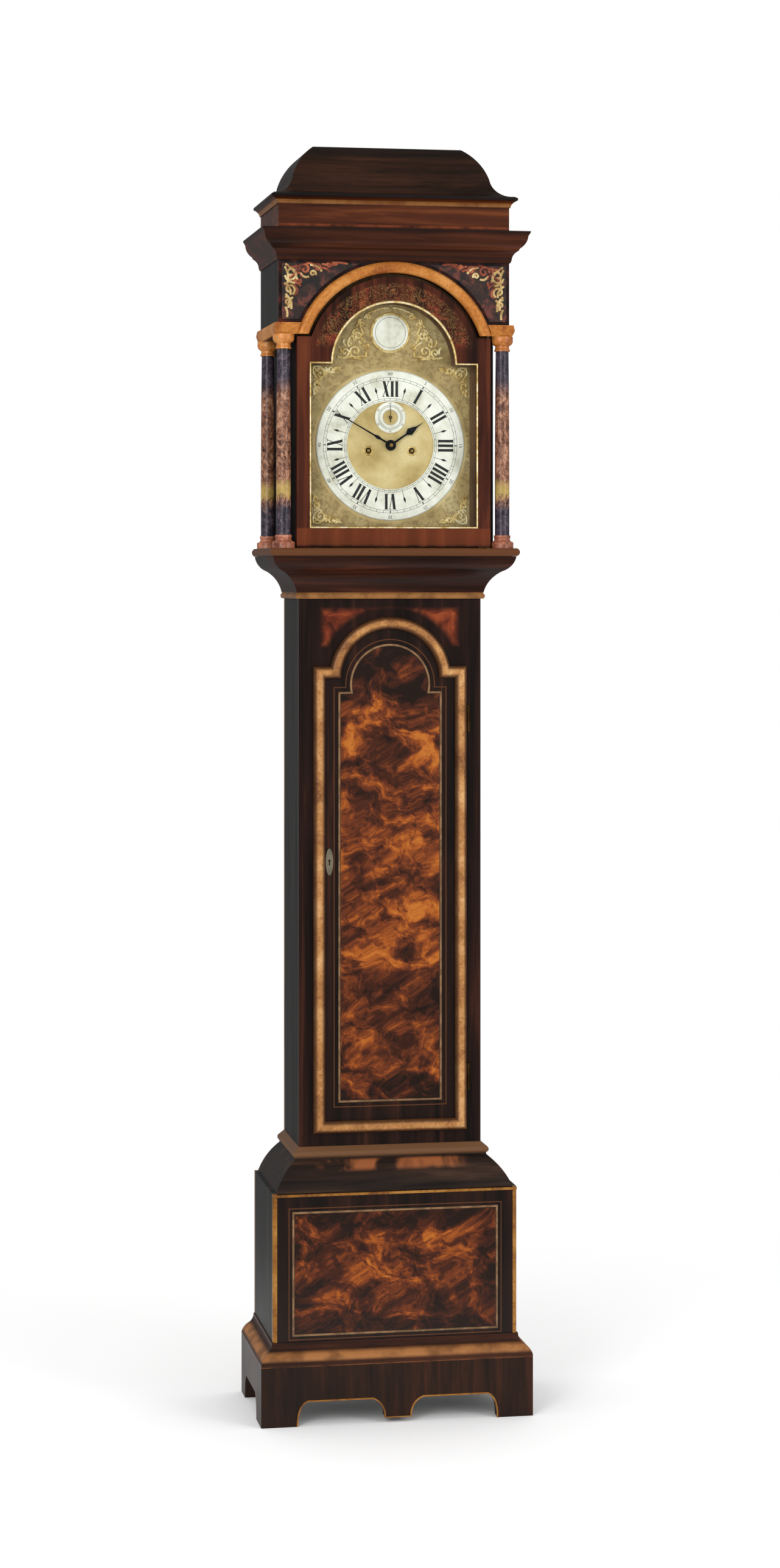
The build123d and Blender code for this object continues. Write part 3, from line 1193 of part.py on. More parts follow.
def driving_weight(side):
    x = side * pulley_x
    y = ahead(LINE_DEPTH)
    straps = [block((x - 4, x + 4), (LINE_DEPTH + out, LINE_DEPTH + out + STIRRUP),
                    (PULLEY_LEVEL - 36, PULLEY_LEVEL + 6)) for out in (-6, 4)]
    bridge = block((x - 6, x + 6), (LINE_DEPTH - 6, LINE_DEPTH + 6), (PULLEY_LEVEL - 40, PULLEY_LEVEL - 32))
    with BuildPart() as body:
        with BuildSketch(Plane.XY.offset(weight_top - WEIGHT_LENGTH)):
            with Locations((x, y)):
                Circle(WEIGHT_RADIUS)
        extrude(amount=WEIGHT_LENGTH)
        chamfer(body.edges(), length=3)
        with BuildSketch(Plane.XY.offset(weight_top - 1)):
            with Locations((x, y)):
                Circle(HOOK_RADIUS)
        extrude(amount=PULLEY_LEVEL - 39 - weight_top)
    sheave = rod(x, PULLEY_LEVEL, LINE_DEPTH - PULLEY_THICK / 2, LINE_DEPTH + PULLEY_THICK / 2,
                 PULLEY_RADIUS - LINE_RADIUS - 0.1)
    axle = rod(x, PULLEY_LEVEL, LINE_DEPTH - 6, LINE_DEPTH + 6, HOOK_RADIUS)
    return (straps[0] + straps[1] + bridge + body.part + sheave + axle).clean()


keep(driving_weight(1), "going_weight")
keep(driving_weight(-1), "strike_weight")
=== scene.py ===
"""Finishes, dial work, castings, frets and light for the longcase clock. Metres, +Z up, front towards -Y."""
import bmesh
import bpy
import math
from mathutils import Matrix, Vector


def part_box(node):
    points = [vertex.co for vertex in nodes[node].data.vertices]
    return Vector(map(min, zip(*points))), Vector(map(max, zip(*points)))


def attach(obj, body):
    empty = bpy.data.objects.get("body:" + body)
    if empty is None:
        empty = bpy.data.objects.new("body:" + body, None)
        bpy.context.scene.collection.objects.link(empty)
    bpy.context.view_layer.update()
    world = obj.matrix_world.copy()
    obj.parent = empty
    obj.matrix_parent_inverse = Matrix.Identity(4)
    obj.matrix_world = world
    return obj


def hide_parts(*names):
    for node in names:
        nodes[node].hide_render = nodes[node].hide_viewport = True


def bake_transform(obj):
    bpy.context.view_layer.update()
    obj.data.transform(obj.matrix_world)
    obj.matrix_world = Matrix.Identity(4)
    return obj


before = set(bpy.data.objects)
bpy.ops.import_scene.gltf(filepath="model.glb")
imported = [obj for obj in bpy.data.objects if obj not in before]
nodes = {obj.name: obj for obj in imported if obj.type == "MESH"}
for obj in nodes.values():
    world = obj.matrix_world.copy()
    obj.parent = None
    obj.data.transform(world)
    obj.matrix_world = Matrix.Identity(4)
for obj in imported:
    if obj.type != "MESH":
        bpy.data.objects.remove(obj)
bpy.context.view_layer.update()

MM = 0.001

# Camera, as found from the photograph
CAMERA_PLACE = (-1.054, -5.854, 1.5539)
CAMERA_TURN = 10.296
CAMERA_LENS = 72.57
CAMERA_SHIFT = -0.1318

# Radius of the floor, and where it fades out
FLOOR_RADIUS = 6
FLOOR_FADE = (0.6, 1.6)

# Brightness of the white surroundings, seen straight and in reflections
DIRECT_WORLD = 1.0
REFLECTED_WORLD = 0.22

# Planes and levels of the dial and case that the added pieces sit on
TRUNK_FRONT = -0.054
DIAL_FACE = TRUNK_FRONT
RING_FACE = DIAL_FACE - 0.0018
DIAL_CENTRE = 1.8
SECONDS_CENTRE = 1.852
ARCH_CENTRE = 1.947
BOSS_CENTRE = 2.010
CHAPTER = (0.082, 0.142)
HOOD_FRONT = TRUNK_FRONT - 0.045
HOOD_DOOR_FACE = TRUNK_FRONT - 0.042
BASE_FRONT = TRUNK_FRONT - 0.057
PLINTH_FRONT = BASE_FRONT - 0.025
VENEER = 0.002
WINDING_HOLES = (0.041, 1.790)
FRET_CORNER = (0.2105, 2.0295)

# Outlines: half width, foot, shoulder, then the arch's radius and centre where there is an arch
DOOR_EDGE = (0.145, 0.521, 1.388, 0.115, 1.365)
DOOR_MOULDING_MIDDLE = 0.011
DOOR_PANEL = (0.094, 0.581, 1.337, 0.072, 1.354)
BASE_PANEL = (0.189, 0.163, 0.384)
CORNER_VENEER = (0.131, 1.425, 1.498)
CORNER_VENEER_ARCH = 0.132
SIGHT = (0.1570, 1.6460, 1.9500, 0.1170, ARCH_CENTRE)

# Levels where a painted or worn line runs, and how far its edge blurs; at the plinth crown, the base crown
# and the frieze line a painted highlight runs, in the cornice hollow a painted shade
BLUR = 0.002
PLINTH_BEAD = 0.108
PLINTH_CROWN = 0.126
BASE_TOP = 0.4175
BASE_COLLAR = 0.4765
BASE_CROWN = (0.452, 0.476)
DOOR_DARK_FOOT = (0.64, 0.60)
DOOR_DARK_BAND = 0.775
DOOR_DARK_ARCH = (1.27, 1.36)
THROAT_BEAD = 1.5265
HOOD_RAIL = (1.611, 1.646)
HOOD_SPRIGS = (1.975, 1.995)
HOOD_SPRIG_RADIUS = 0.150
HOOD_LIP_FRONT = HOOD_FRONT - 0.010
HOOD_LIP_HALF = 0.2285
COLUMN_GREY_FOOT = (1.705, 1.675)
COLUMN_GREY_HEAD = (1.885, 1.925)
COLUMN_BAND = 1.716
COLUMN_MIDDLE = 1.8
CORNICE_HOLLOW = 2.147
CORNICE_EDGE = 2.186
FRIEZE_FOOT = 2.2035
FRIEZE_LINE = 2.246
FRIEZE_TOP = 2.252


def tint(code):
    """A linear colour from a six-digit screen colour."""
    parts = [int(code[i:i + 2], 16) / 255 for i in (0, 2, 4)]
    return (*[part / 12.92 if part < 0.04045 else ((part + 0.055) / 1.055) ** 2.4 for part in parts], 1)


# Shader expressions
class Wire:
    """A shader socket that adds, scales and compares like a number."""

    def __init__(self, finish, socket):
        self.finish = finish
        self.socket = socket

    def _math(self, operation, first, second):
        return self.finish.node("Math", {0: first, 1: second}, operation=operation)

    def __add__(self, other):
        return self._math("ADD", self, other)

    def __radd__(self, other):
        return self._math("ADD", other, self)

    def __sub__(self, other):
        return self._math("SUBTRACT", self, other)

    def __rsub__(self, other):
        return self._math("SUBTRACT", other, self)

    def __mul__(self, other):
        return self._math("MULTIPLY", self, other)

    def __rmul__(self, other):
        return self._math("MULTIPLY", other, self)

    def __pow__(self, other):
        return self._math("POWER", self, other)

    def __abs__(self):
        return self._math("ABSOLUTE", self, 0)

    def least(self, other):
        return self._math("MINIMUM", self, other)

    def most(self, other):
        return self._math("MAXIMUM", self, other)


class Finish:
    """A node material whose surface is written as expressions on wires."""

    def __init__(self, name, **constants):
        self.material = bpy.data.materials.new(name)
        self.material.use_nodes = True
        self.tree = self.material.node_tree
        self.surface = self.tree.nodes["Principled BSDF"]
        self.place = self.node("TexCoord", out="Object")
        self.x = self.node("SeparateXYZ", {0: self.place}, out=0)
        self.y = self.node("SeparateXYZ", {0: self.place}, out=1)
        self.z = self.node("SeparateXYZ", {0: self.place}, out=2)
        self.set(**constants)

    def node(self, kind, sockets=None, out=0, stops=None, **settings):
        """Any node: its settings first, then the values or links of its sockets; gives one output."""
        made = self.tree.nodes.new("ShaderNode" + kind)
        for key, value in settings.items():
            setattr(made, key, value)
        if stops:
            points = made.color_ramp.elements
            while len(points) < len(stops):
                points.new(1)
            for point, (place, colour) in zip(points, stops):
                point.position = place
                point.color = tint(colour)
        self.fill(made, sockets or {})
        return Wire(self, made.outputs[out])

    def fill(self, made, sockets):
        """Sets the sockets of a node: a wire is linked, and a screen colour made linear."""
        for key, value in sockets.items():
            if isinstance(value, Wire):
                self.tree.links.new(value.socket, made.inputs[key])
            elif isinstance(value, str):
                made.inputs[key].default_value = tint(value)
            else:
                made.inputs[key].default_value = value

    def set(self, **sockets):
        """Values or wires of the surface's own sockets; an underscore stands for a space."""
        self.fill(self.surface, {key.replace("_", " "): value for key, value in sockets.items()})
        return self

    def painted(self):
        """The colour that the surface has so far."""
        return Wire(self, self.surface.inputs["Base Color"].links[0].from_socket)

    def stretched(self, stretch, turn=(0, 0, 0)):
        return self.node("Mapping", {"Vector": self.place, "Scale": stretch, "Rotation": turn})

    def noise(self, scale, detail=4, roughness=0.55, distortion=0.0, where=None):
        return self.node("TexNoise", {"Vector": where or self.place, "Scale": scale, "Detail": detail,
                                      "Roughness": roughness, "Distortion": distortion})

    def cells(self, scale, where=None):
        return self.node("TexVoronoi", {"Vector": where or self.place, "Scale": scale})

    def rise(self, value, low, high):
        """Nothing below low, one above high, smooth between; high below low turns it round."""
        if high < low:
            return 1 - self.rise(value, high, low)
        return self.node("MapRange", {"Value": value, "From Min": low, "From Max": high},
                         interpolation_type="SMOOTHSTEP")

    def ramp(self, value, *stops):
        return self.node("ValToRGB", {0: value}, stops=stops)

    def mix(self, share, first, second):
        return self.node("Mix", {0: share, 6: first, 7: second}, out=2, data_type="RGBA")

    def bump(self, height, strength=0.3, distance=0.0004, under=None):
        sockets = {"Height": height, "Strength": strength, "Distance": distance}
        if under:
            sockets["Normal"] = under
        return self.node("Bump", sockets)


# Flat outlines as signed distances, negative inside
def box_distance(finish, half, low, high, across=None):
    side = abs(finish.x if across is None else across) - half
    level = abs(finish.z - (low + high) / 2) - (high - low) / 2
    return side.most(level)


def circle_distance(finish, radius, centre):
    return (finish.x * finish.x + (finish.z - centre) ** 2) ** 0.5 - radius


def arch_distance(finish, half, low, shoulder, radius, centre):
    return box_distance(finish, half, low, shoulder).least(circle_distance(finish, radius, centre))


def line_at(finish, distance, offset, width):
    """One on a line that runs at an offset from an outline, nothing elsewhere."""
    return finish.rise(abs(distance - offset), width * 0.7, width * 0.4)


# Wood finishes
def grain(finish, upright=True):
    """Long streaks and short pores along the board."""
    along = (1, 1, 0.06) if upright else (0.06, 1, 1)
    streaks = finish.noise(38, 5, 0.6, 0.6, finish.stretched(along))
    pores = finish.noise(420, 2, 0.6, 0, finish.stretched(along))
    return streaks, pores


def polished_wood(name, dark, middle, light, upright=True, gloss=0.34, coat=0.08):
    """Old varnished wood: streaked colour, dull patches, faint crackle."""
    finish = Finish(name, Coat_Roughness=0.22, Specular_IOR_Level=0.16)
    streaks, pores = grain(finish, upright)
    patches = finish.noise(7, 3, 0.5)
    colour = finish.ramp(streaks * 0.75 + patches * 0.25, (0.36, dark), (0.52, middle), (0.68, light))
    colour = finish.mix(finish.rise(pores, 0.56, 0.66) * 0.45, colour, dark)
    finish.set(Base_Color=colour, Roughness=gloss + patches * 0.22, Coat_Weight=coat * (1 - patches * 0.5),
               Normal=finish.bump(pores * 0.6 + streaks * 0.4, 0.25, 0.0003))
    return finish


def case_wood():
    return polished_wood("dark_case_wood", "120904", "291408", "3f1e0c")


def side_wood():
    """Ebonised side boards: near-black wood coloured cool grey as a painted sheen."""
    return polished_wood("ebonised_side_wood", "1a1918", "282726", "33312f", gloss=0.42)


def black_lacquer():
    """Caddy: almost black, with brown rubbed through."""
    return polished_wood("black_brown_lacquer", "120b06", "26150b", "3d2111",
                         upright=False)


def bare_wood():
    return polished_wood("bare_inside_wood", "4a3524", "6b4f36", "80634a",
                         gloss=0.6, coat=0)


def streaked_wood(name, upright=False):
    """A finish with the case's thin worn varnish, and the streaks and pores of its wood."""
    finish = Finish(name, Coat_Roughness=0.2, Coat_Weight=0.08, Specular_IOR_Level=0.16)
    return (finish, *grain(finish, upright))


def varnished(finish, colour, streaks, pores, rough=0.3):
    finish.set(Base_Color=colour, Roughness=rough + streaks * 0.2, Normal=finish.bump(pores, 0.25, 0.0003))
    return finish


def front_of(node):
    """Where a node's front face stands."""
    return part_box(node)[0][1]


def burr_colour(finish, scale, shade):
    """Clouded burr figure: orange and ochre swirls in dark brown, with small eyes."""
    bent = finish.noise(scale * 0.6, 3, 0.5)
    swirl = finish.node("VectorMath", {0: finish.place, 1: finish.node("CombineXYZ", {
        0: bent * 0.16, 1: 0.0, 2: bent * 0.10})}, operation="ADD")
    flattened = finish.node("Mapping", {"Vector": swirl, "Scale": (0.8, 1, 1.25)})
    clouds = finish.noise(scale, 6, 0.66, 0.5, flattened)
    streaks = finish.noise(scale * 3.6, 5, 0.6, 0.9, swirl)
    eyes = finish.cells(scale * 9, swirl)
    figure = clouds * 0.74 + streaks * 0.26 - shade
    colour = finish.ramp(figure, (0.37, "1e0e06"), (0.45, "421b09"), (0.51, "6c300d"),
                         (0.56, "984c10"), (0.62, "b0661e"), (0.70, "823c10"))
    return finish.mix(finish.rise(eyes, 0.22, 0.08) * 0.55, colour, "2a1008"), figure


def inlaid_panel(name, board, distance_of, offset, scale, shade):
    """A dark crossbanded board with one light line of inlay round a burr panel, plain at the back."""
    finish = Finish(name, Coat_Roughness=0.2, Coat_Weight=0.1, Specular_IOR_Level=0.2)
    distance = distance_of(finish)
    streaks, pores = grain(finish)
    band = finish.ramp(streaks, (0.36, "0e0704"), (0.6, "261006"), (0.7, "3c1a0b"))
    burr, figure = burr_colour(finish, scale, shade(finish))
    colour = finish.mix(finish.rise(distance, 0.0, -0.0015), band, burr)
    inlay = line_at(finish, distance, 0.002, 0.0032)
    rubbed = finish.rise(finish.noise(60, 3), 0.40, 0.62)
    colour = finish.mix(inlay * (0.5 + rubbed * 0.4), colour, "8c6a48")
    outer = line_at(finish, distance, offset, 0.0016)
    colour = finish.mix(outer * 0.6, colour, "6a3d1e")
    behind = finish.rise(finish.y, front_of(board) + VENEER, front_of(board) + 2 * VENEER)
    inside = finish.ramp(streaks, (0.36, "24160c"), (0.66, "4a3120"))
    colour = finish.mix(behind, colour, inside)
    finish.set(Base_Color=colour, Roughness=0.34 + streaks * 0.16,
               Normal=finish.bump(figure * 0.3 + pores * 0.3 - inlay * 0.4, 0.2, 0.0003))
    return finish


def door_panel():
    def distance(finish):
        return arch_distance(finish, *DOOR_PANEL)

    def shade(finish):
        """Darker in the arch, in a band low down and at the foot."""
        band = finish.rise(abs(finish.z - DOOR_DARK_BAND), 0.06, 0.02) * 0.07
        arch = finish.rise(finish.z, *DOOR_DARK_ARCH) * 0.07
        foot = finish.rise(finish.z, *DOOR_DARK_FOOT) * 0.05
        return arch + band + foot + 0.012
    return inlaid_panel("burr_door_panel", "trunk_door_board", distance, 0.012, 15.0, shade)


def base_panel():
    def distance(finish):
        return box_distance(finish, *BASE_PANEL)

    def shade(finish):
        """Darker towards the edges."""
        edge = finish.rise(distance(finish), -0.05, -0.005)
        return edge * 0.06 + 0.036
    return inlaid_panel("burr_base_panel", "base_front", distance, 0.010, 17.0, shade)


def trunk_frame_wood():
    """Front frame of the trunk: dark, with redder veneer in the corners above the door arch."""
    finish, streaks, pores = streaked_wood("trunk_frame_wood", upright=True)
    dark = finish.ramp(streaks, (0.36, "0f0805"), (0.58, "25110a"), (0.7, "3a1b0e"))
    clouds = finish.noise(28, 5, 0.6, 1.0)
    red = finish.ramp(clouds, (0.38, "3a150a"), (0.52, "6e2a12"), (0.66, "96441c"))
    above_arch = 0 - circle_distance(finish, CORNER_VENEER_ARCH, DOOR_EDGE[-1])
    corners = box_distance(finish, *CORNER_VENEER).most(above_arch)
    colour = finish.mix(finish.rise(corners, 0.003, -0.014) * 0.9, dark, red)
    finish.set(Base_Color=colour, Roughness=0.3 + streaks * 0.18, Normal=finish.bump(pores, 0.25, 0.0003))
    return finish


def gilt_moulding(name, deep, middle, light, rub=0.5):
    """Ochre lacquer over gesso: brighter on the crown, dark in the hollows, rubbed here and there."""
    finish = Finish(name, Specular_IOR_Level=0.3, Coat_Weight=0.12, Coat_Roughness=0.25)
    drift = finish.noise(16, 4, 0.6, 0.4)
    fine = finish.noise(190, 3, 0.6)
    colour = finish.ramp(drift * 0.7 + fine * 0.3, (0.34, deep), (0.5, middle), (0.66, light))
    wear = finish.rise(finish.noise(85, 4, 0.7), 0.60, 0.70) * rub
    finish.set(Base_Color=finish.mix(wear, colour, "3a1a0c"), Metallic=0.25 * (1 - wear),
               Roughness=0.34 + fine * 0.2, Normal=finish.bump(fine + drift, 0.3, 0.0003))
    return finish


def ochre_moulding():
    return gilt_moulding("ochre_moulding", "80502a", "b67e46", "d8a66e")


def orange_moulding():
    return gilt_moulding("orange_gilt_moulding", "8f4c1c", "bd7630", "d89a54", 0.3)


def bead_finish():
    return gilt_moulding("corner_bead_ochre", "5e3212", "94601f", "b5803a", 0.7)


def door_moulding_finish():
    """Half-round of the trunk door: bright crown, with painted shade darkening it towards both edges."""
    finish = ochre_moulding()
    # Painted shade: dark brown laid towards both edges of the half-round, so that the crown stands out
    # bright
    edge = finish.rise(abs(arch_distance(finish, *DOOR_EDGE) + DOOR_MOULDING_MIDDLE), 0.0020, 0.0085)
    finish.set(Base_Color=finish.mix(edge * 0.85, finish.painted(), "3e1f0e"))
    return finish


def plinth_moulding_finish():
    """Plinth moulding: a brown-ochre painted highlight along the crown, between dark upper and lower edges.
    """
    finish = polished_wood("plinth_moulding_brown_painted_highlight", "1b0d07", "35190c", "4d2813",
                           upright=False)
    plain = finish.painted()
    worn = finish.rise(finish.noise(26, 4, 0.6), 0.30, 0.62)
    # Painted highlight along the crown, broken up by the noise named worn, which also marks real wear on the
    # lower bead
    crown = finish.rise(abs(finish.z - PLINTH_CROWN), 0.010, 0.003)
    lower = finish.rise(abs(finish.z - PLINTH_BEAD), 0.004, 0.001)
    colour = finish.mix(crown * (0.45 + worn * 0.5), plain, "a06a3c")
    finish.set(Base_Color=finish.mix(lower * worn * 0.6, colour, "8a5228"))
    return finish


def frieze_finish():
    """Upper frieze and its cornice: red-brown below an ochre painted highlight along its top moulding, black
    at the top edge.
    """
    finish, streaks, pores = streaked_wood("frieze_red_brown_painted_highlight")
    red = finish.ramp(streaks, (0.36, "2a1006"), (0.54, "4f230d"), (0.68, "6e3813"))
    black = finish.ramp(streaks, (0.36, "0f0b0b"), (0.68, "241512"))
    worn = finish.rise(finish.noise(22, 4, 0.6), 0.30, 0.60)
    colour = finish.mix(finish.rise(finish.z, FRIEZE_TOP, FRIEZE_TOP + 2 * BLUR), red, black)
    # Painted highlight: an ochre line along the moulding at the top of the frieze, broken up by the noise
    # named worn, which also marks real wear on the foot line
    line = finish.rise(abs(finish.z - FRIEZE_LINE), 0.005, 0.002)
    colour = finish.mix(line * (0.35 + worn * 0.5), colour, "8e5e30")
    foot = finish.rise(abs(finish.z - FRIEZE_FOOT), 0.0035, 0.001)
    colour = finish.mix(foot * worn * 0.5, colour, "9a4a24")
    return varnished(finish, colour, streaks, pores)


def lower_cornice_finish():
    """Lower cornice: dark red-brown with a black upper edge, and painted shade in its hollow."""
    finish, streaks, pores = streaked_wood("cornice_red_brown_painted_shade")
    red = finish.ramp(streaks, (0.36, "1f0d05"), (0.56, "421d0b"), (0.68, "602d12"))
    colour = finish.mix(finish.rise(finish.z, CORNICE_EDGE, CORNICE_EDGE + 4 * BLUR) * 0.8, red, "150d0c")
    # Painted shade: near-black laid along the hollow of the cornice
    hollow = finish.rise(abs(finish.z - CORNICE_HOLLOW), 0.004, 0.001)
    colour = finish.mix(hollow * 0.5, colour, "15090a")
    return varnished(finish, colour, streaks, pores)


def throat_finish():
    """Throat moulding: dark red-brown with a light bead at the foot."""
    finish, streaks, pores = streaked_wood("throat_red_brown")
    red = finish.ramp(streaks, (0.36, "160905"), (0.56, "301409"), (0.68, "4a2210"))
    bead = finish.rise(finish.z, THROAT_BEAD, THROAT_BEAD - BLUR)
    worn = finish.rise(finish.noise(30, 4, 0.6), 0.35, 0.60)
    colour = finish.mix(bead * (0.45 + worn * 0.4), red, "9a6a3a")
    return varnished(finish, colour, streaks, pores)


def base_moulding_finish():
    """Moulding over the base: a light collar, then a dark round with a red and ochre painted highlight on
    its crown.
    """
    finish, streaks, pores = streaked_wood("base_moulding_brown_painted_highlight")
    dark = finish.ramp(streaks, (0.36, "15100d"), (0.56, "2b1d16"), (0.68, "3f2b1f"))
    # Painted highlight: red-ochre on the crown of the round, strongest towards the middle and broken into
    # patches
    patch = finish.rise(finish.noise(11, 3, 0.5, 0.8), 0.46, 0.60)
    foot, top = BASE_CROWN
    crown = finish.rise(finish.z, foot, foot + 0.010) * finish.rise(finish.z, top, top - 0.006)
    middle = finish.rise(abs(finish.x), 0.15, 0.10)
    colour = finish.mix(crown * patch * middle * 0.85, dark, "95552f")
    collar = finish.rise(finish.z, BASE_COLLAR, BASE_COLLAR + BLUR)
    colour = finish.mix(collar * 0.65, colour, "7c5638")
    return varnished(finish, colour, streaks, pores, 0.32)


def bottom_frame_finish():
    """Hood's bottom frame: dark wood with a light worn lip."""
    finish, streaks, pores = streaked_wood("hood_lip_wood")
    dark = finish.ramp(streaks, (0.36, "1a0c08"), (0.6, "3a1a10"))
    lip = finish.rise(finish.y, HOOD_LIP_FRONT, HOOD_LIP_FRONT - 0.0035)
    lip = lip.most(finish.rise(abs(finish.x), HOOD_LIP_HALF, HOOD_LIP_HALF + 0.003))
    colour = finish.mix(lip * 0.45, dark, "7c4c28")
    return varnished(finish, colour, streaks, pores, 0.34)


def hood_door_wood():
    """Hood door: plain dark red stiles, and faint painted sprigs in red and gold round the arch."""
    finish = Finish("hood_door_red_brown", Coat_Roughness=0.2, Coat_Weight=0.1, Specular_IOR_Level=0.18)
    streaks, pores = grain(finish)
    wood = finish.ramp(streaks, (0.36, "1e0b05"), (0.54, "431a0a"), (0.68, "612c12"))
    foot, top = HOOD_RAIL
    rail = finish.rise(finish.z, top, top - 0.003) * finish.rise(finish.z, foot, foot + 0.005)
    colour = finish.mix(rail * 0.45, wood, "7a3814")
    ring = finish.rise(circle_distance(finish, HOOD_SPRIG_RADIUS, ARCH_CENTRE), 0.004, -0.002)
    face = front_of("hood_door_frame")
    outside = finish.rise(finish.y, face + 2 * VENEER, face + VENEER)
    arch = finish.rise(finish.z, *HOOD_SPRIGS) * ring * outside
    sprigs = finish.noise(70, 4, 0.65, 2.4)
    blooms = finish.noise(34, 3, 0.6, 1.6)
    colour = finish.mix(arch * finish.rise(blooms, 0.54, 0.60) * 0.55, colour, "7e2a1a")
    colour = finish.mix(arch * finish.rise(abs(sprigs - 0.5), 0.022, 0.008) * 0.5, colour, "a8814a")
    finish.set(Base_Color=colour, Roughness=0.28 + streaks * 0.18, Normal=finish.bump(pores, 0.2, 0.0003))
    return finish


def front_board_finish():
    """Board behind the frets: dark with red and brown clouding."""
    finish, streaks, pores = streaked_wood("spandrel_ground")
    clouds = finish.noise(30, 4, 0.6, 0.8)
    colour = finish.ramp(clouds, (0.38, "120a09"), (0.54, "2c1410"), (0.66, "521f14"))
    return varnished(finish, colour, streaks, pores, 0.32)


def column_finish():
    """Marbled shafts: speckled pink-brown between purple-grey ends, ochre near the foot."""
    finish = Finish("marbled_columns", Coat_Roughness=0.2, Coat_Weight=0.2, Specular_IOR_Level=0.3)
    veins = finish.noise(55, 5, 0.7, 2.0, finish.stretched((1, 1, 0.6)))
    specks = finish.noise(170, 3, 0.7, 0.8)
    stone = finish.ramp(veins * 0.6 + specks * 0.4, (0.38, "38201a"), (0.48, "6e4430"),
                        (0.56, "9c6e52"), (0.66, "bd947a"))
    ends = finish.ramp(veins * 0.6 + specks * 0.4, (0.38, "15101a"), (0.52, "39303c"),
                       (0.66, "6a5a62"))
    drift = (veins - 0.5) * 0.05
    high = finish.rise(finish.z + drift, *COLUMN_GREY_HEAD)
    low = finish.rise(finish.z + drift, *COLUMN_GREY_FOOT)
    colour = finish.mix(high.most(low), stone, ends)
    ochre = finish.rise(abs(finish.z - COLUMN_BAND + drift), 0.022, 0.004)
    colour = finish.mix(ochre * 0.7, colour, "b39a4e")
    finish.set(Base_Color=colour, Roughness=0.3 + specks * 0.2, Normal=finish.bump(specks, 0.15, 0.0002))
    return finish


def column_end_finish():
    """Capitals orange-gold, bases pinker and duller."""
    finish = Finish("column_ends", Coat_Roughness=0.25, Coat_Weight=0.3)
    drift = finish.noise(24, 4, 0.6, 0.4)
    fine = finish.noise(190, 3, 0.6)
    mixed = drift * 0.6 + fine * 0.4
    gold = finish.ramp(mixed, (0.36, "8f4a1c"), (0.52, "c0742f"), (0.66, "d99a52"))
    pink = finish.ramp(mixed, (0.36, "5e2c1c"), (0.52, "a35f42"), (0.66, "c98a66"))
    upper = finish.rise(finish.z, COLUMN_MIDDLE, COLUMN_MIDDLE + 0.01)
    colour = finish.mix(upper, pink, gold)
    colour = finish.mix(finish.rise(fine, 0.62, 0.7) * 0.5, colour, "34170c")
    finish.set(Base_Color=colour, Metallic=upper * 0.2, Roughness=0.34 + fine * 0.2,
               Normal=finish.bump(mixed, 0.3, 0.0003))
    return finish


# Metals, paint, glass and gut
def worked_metal(name, dull, bright, rough=0.3, brushed=(1, 1, 1), tarnish=0.35):
    """Metal with brush marks and cloudy tarnish."""
    finish = Finish(name)
    clouds = finish.noise(18, 4, 0.6, 0.5)
    marks = finish.noise(330, 2, 0.6, 0, finish.stretched(brushed))
    colour = finish.mix(finish.rise(clouds, 0.36, 0.66) * tarnish, bright, dull)
    finish.set(Base_Color=colour, Metallic=1.0, Roughness=rough + clouds * 0.15 + marks * 0.12,
               Normal=finish.bump(marks, 0.12, 0.0001))
    return finish


def brass():
    return worked_metal("turned_brass", "8a6a34", "d2ac62")


def old_brass():
    """Unpolished hinges and pivots."""
    return worked_metal("old_dark_brass", "261c10", "5a4426", 0.45, tarnish=0.8)


def worn_white_brass():
    """Lock and its escutcheon, rubbed pale grey."""
    return worked_metal("worn_pale_brass", "6a6250", "aaa088", 0.4, tarnish=0.6)


def lacquered_brass():
    return worked_metal("lacquered_weight_brass", "a07c3c", "dcb668", 0.2, (1, 1, 12))


def steel():
    return worked_metal("grey_steel", "4c4a47", "9a9894", 0.36, (1, 1, 8))


def bell_metal():
    return worked_metal("bell_metal", "8d7646", "c9b07a", 0.26, (1, 1, 10))


def blued_steel():
    finish = Finish("blued_steel_hands", Coat_Weight=0.2, Coat_Roughness=0.15)
    clouds = finish.noise(60, 3, 0.5)
    colour = finish.ramp(clouds, (0.35, "0a0b10"), (0.55, "12151e"), (0.7, "22242c"))
    finish.set(Base_Color=colour, Metallic=0.8, Roughness=0.3 + clouds * 0.15,
               Normal=finish.bump(clouds, 0.1, 0.0001))
    return finish


def dial_brass():
    """Dial plate: matted with a fine punch inside the chapter ring, brushed outside it."""
    finish = Finish("dial_plate_brass")
    inside = finish.rise(circle_distance(finish, CHAPTER[0], DIAL_CENTRE), 0.001, 0.0)
    punched = finish.cells(900)
    clouds = finish.noise(14, 4, 0.6)
    pale = finish.ramp(clouds, (0.36, "b49a5e"), (0.52, "cfb77c"), (0.68, "e0cc98"))
    plain = finish.ramp(clouds, (0.36, "ac9560"), (0.52, "ccb27a"), (0.68, "dec996"))
    matted = finish.rise(finish.noise(85, 4, 0.65, 1.2), 0.44, 0.60)
    cast_area = finish.rise(circle_distance(finish, CHAPTER[1], DIAL_CENTRE), 0.0, 0.006)
    plain = finish.mix(cast_area * (0.25 + matted * 0.4), plain, "715730")
    colour = finish.mix(inside, plain, pale)
    colour = finish.mix(finish.rise(punched, 0.35, 0.6) * 0.25, colour, "8a7038")
    finish.set(Base_Color=colour, Metallic=0.2, Roughness=0.46 + clouds * 0.12,
               Normal=finish.bump(punched * inside, 0.5, 0.0002))
    return finish


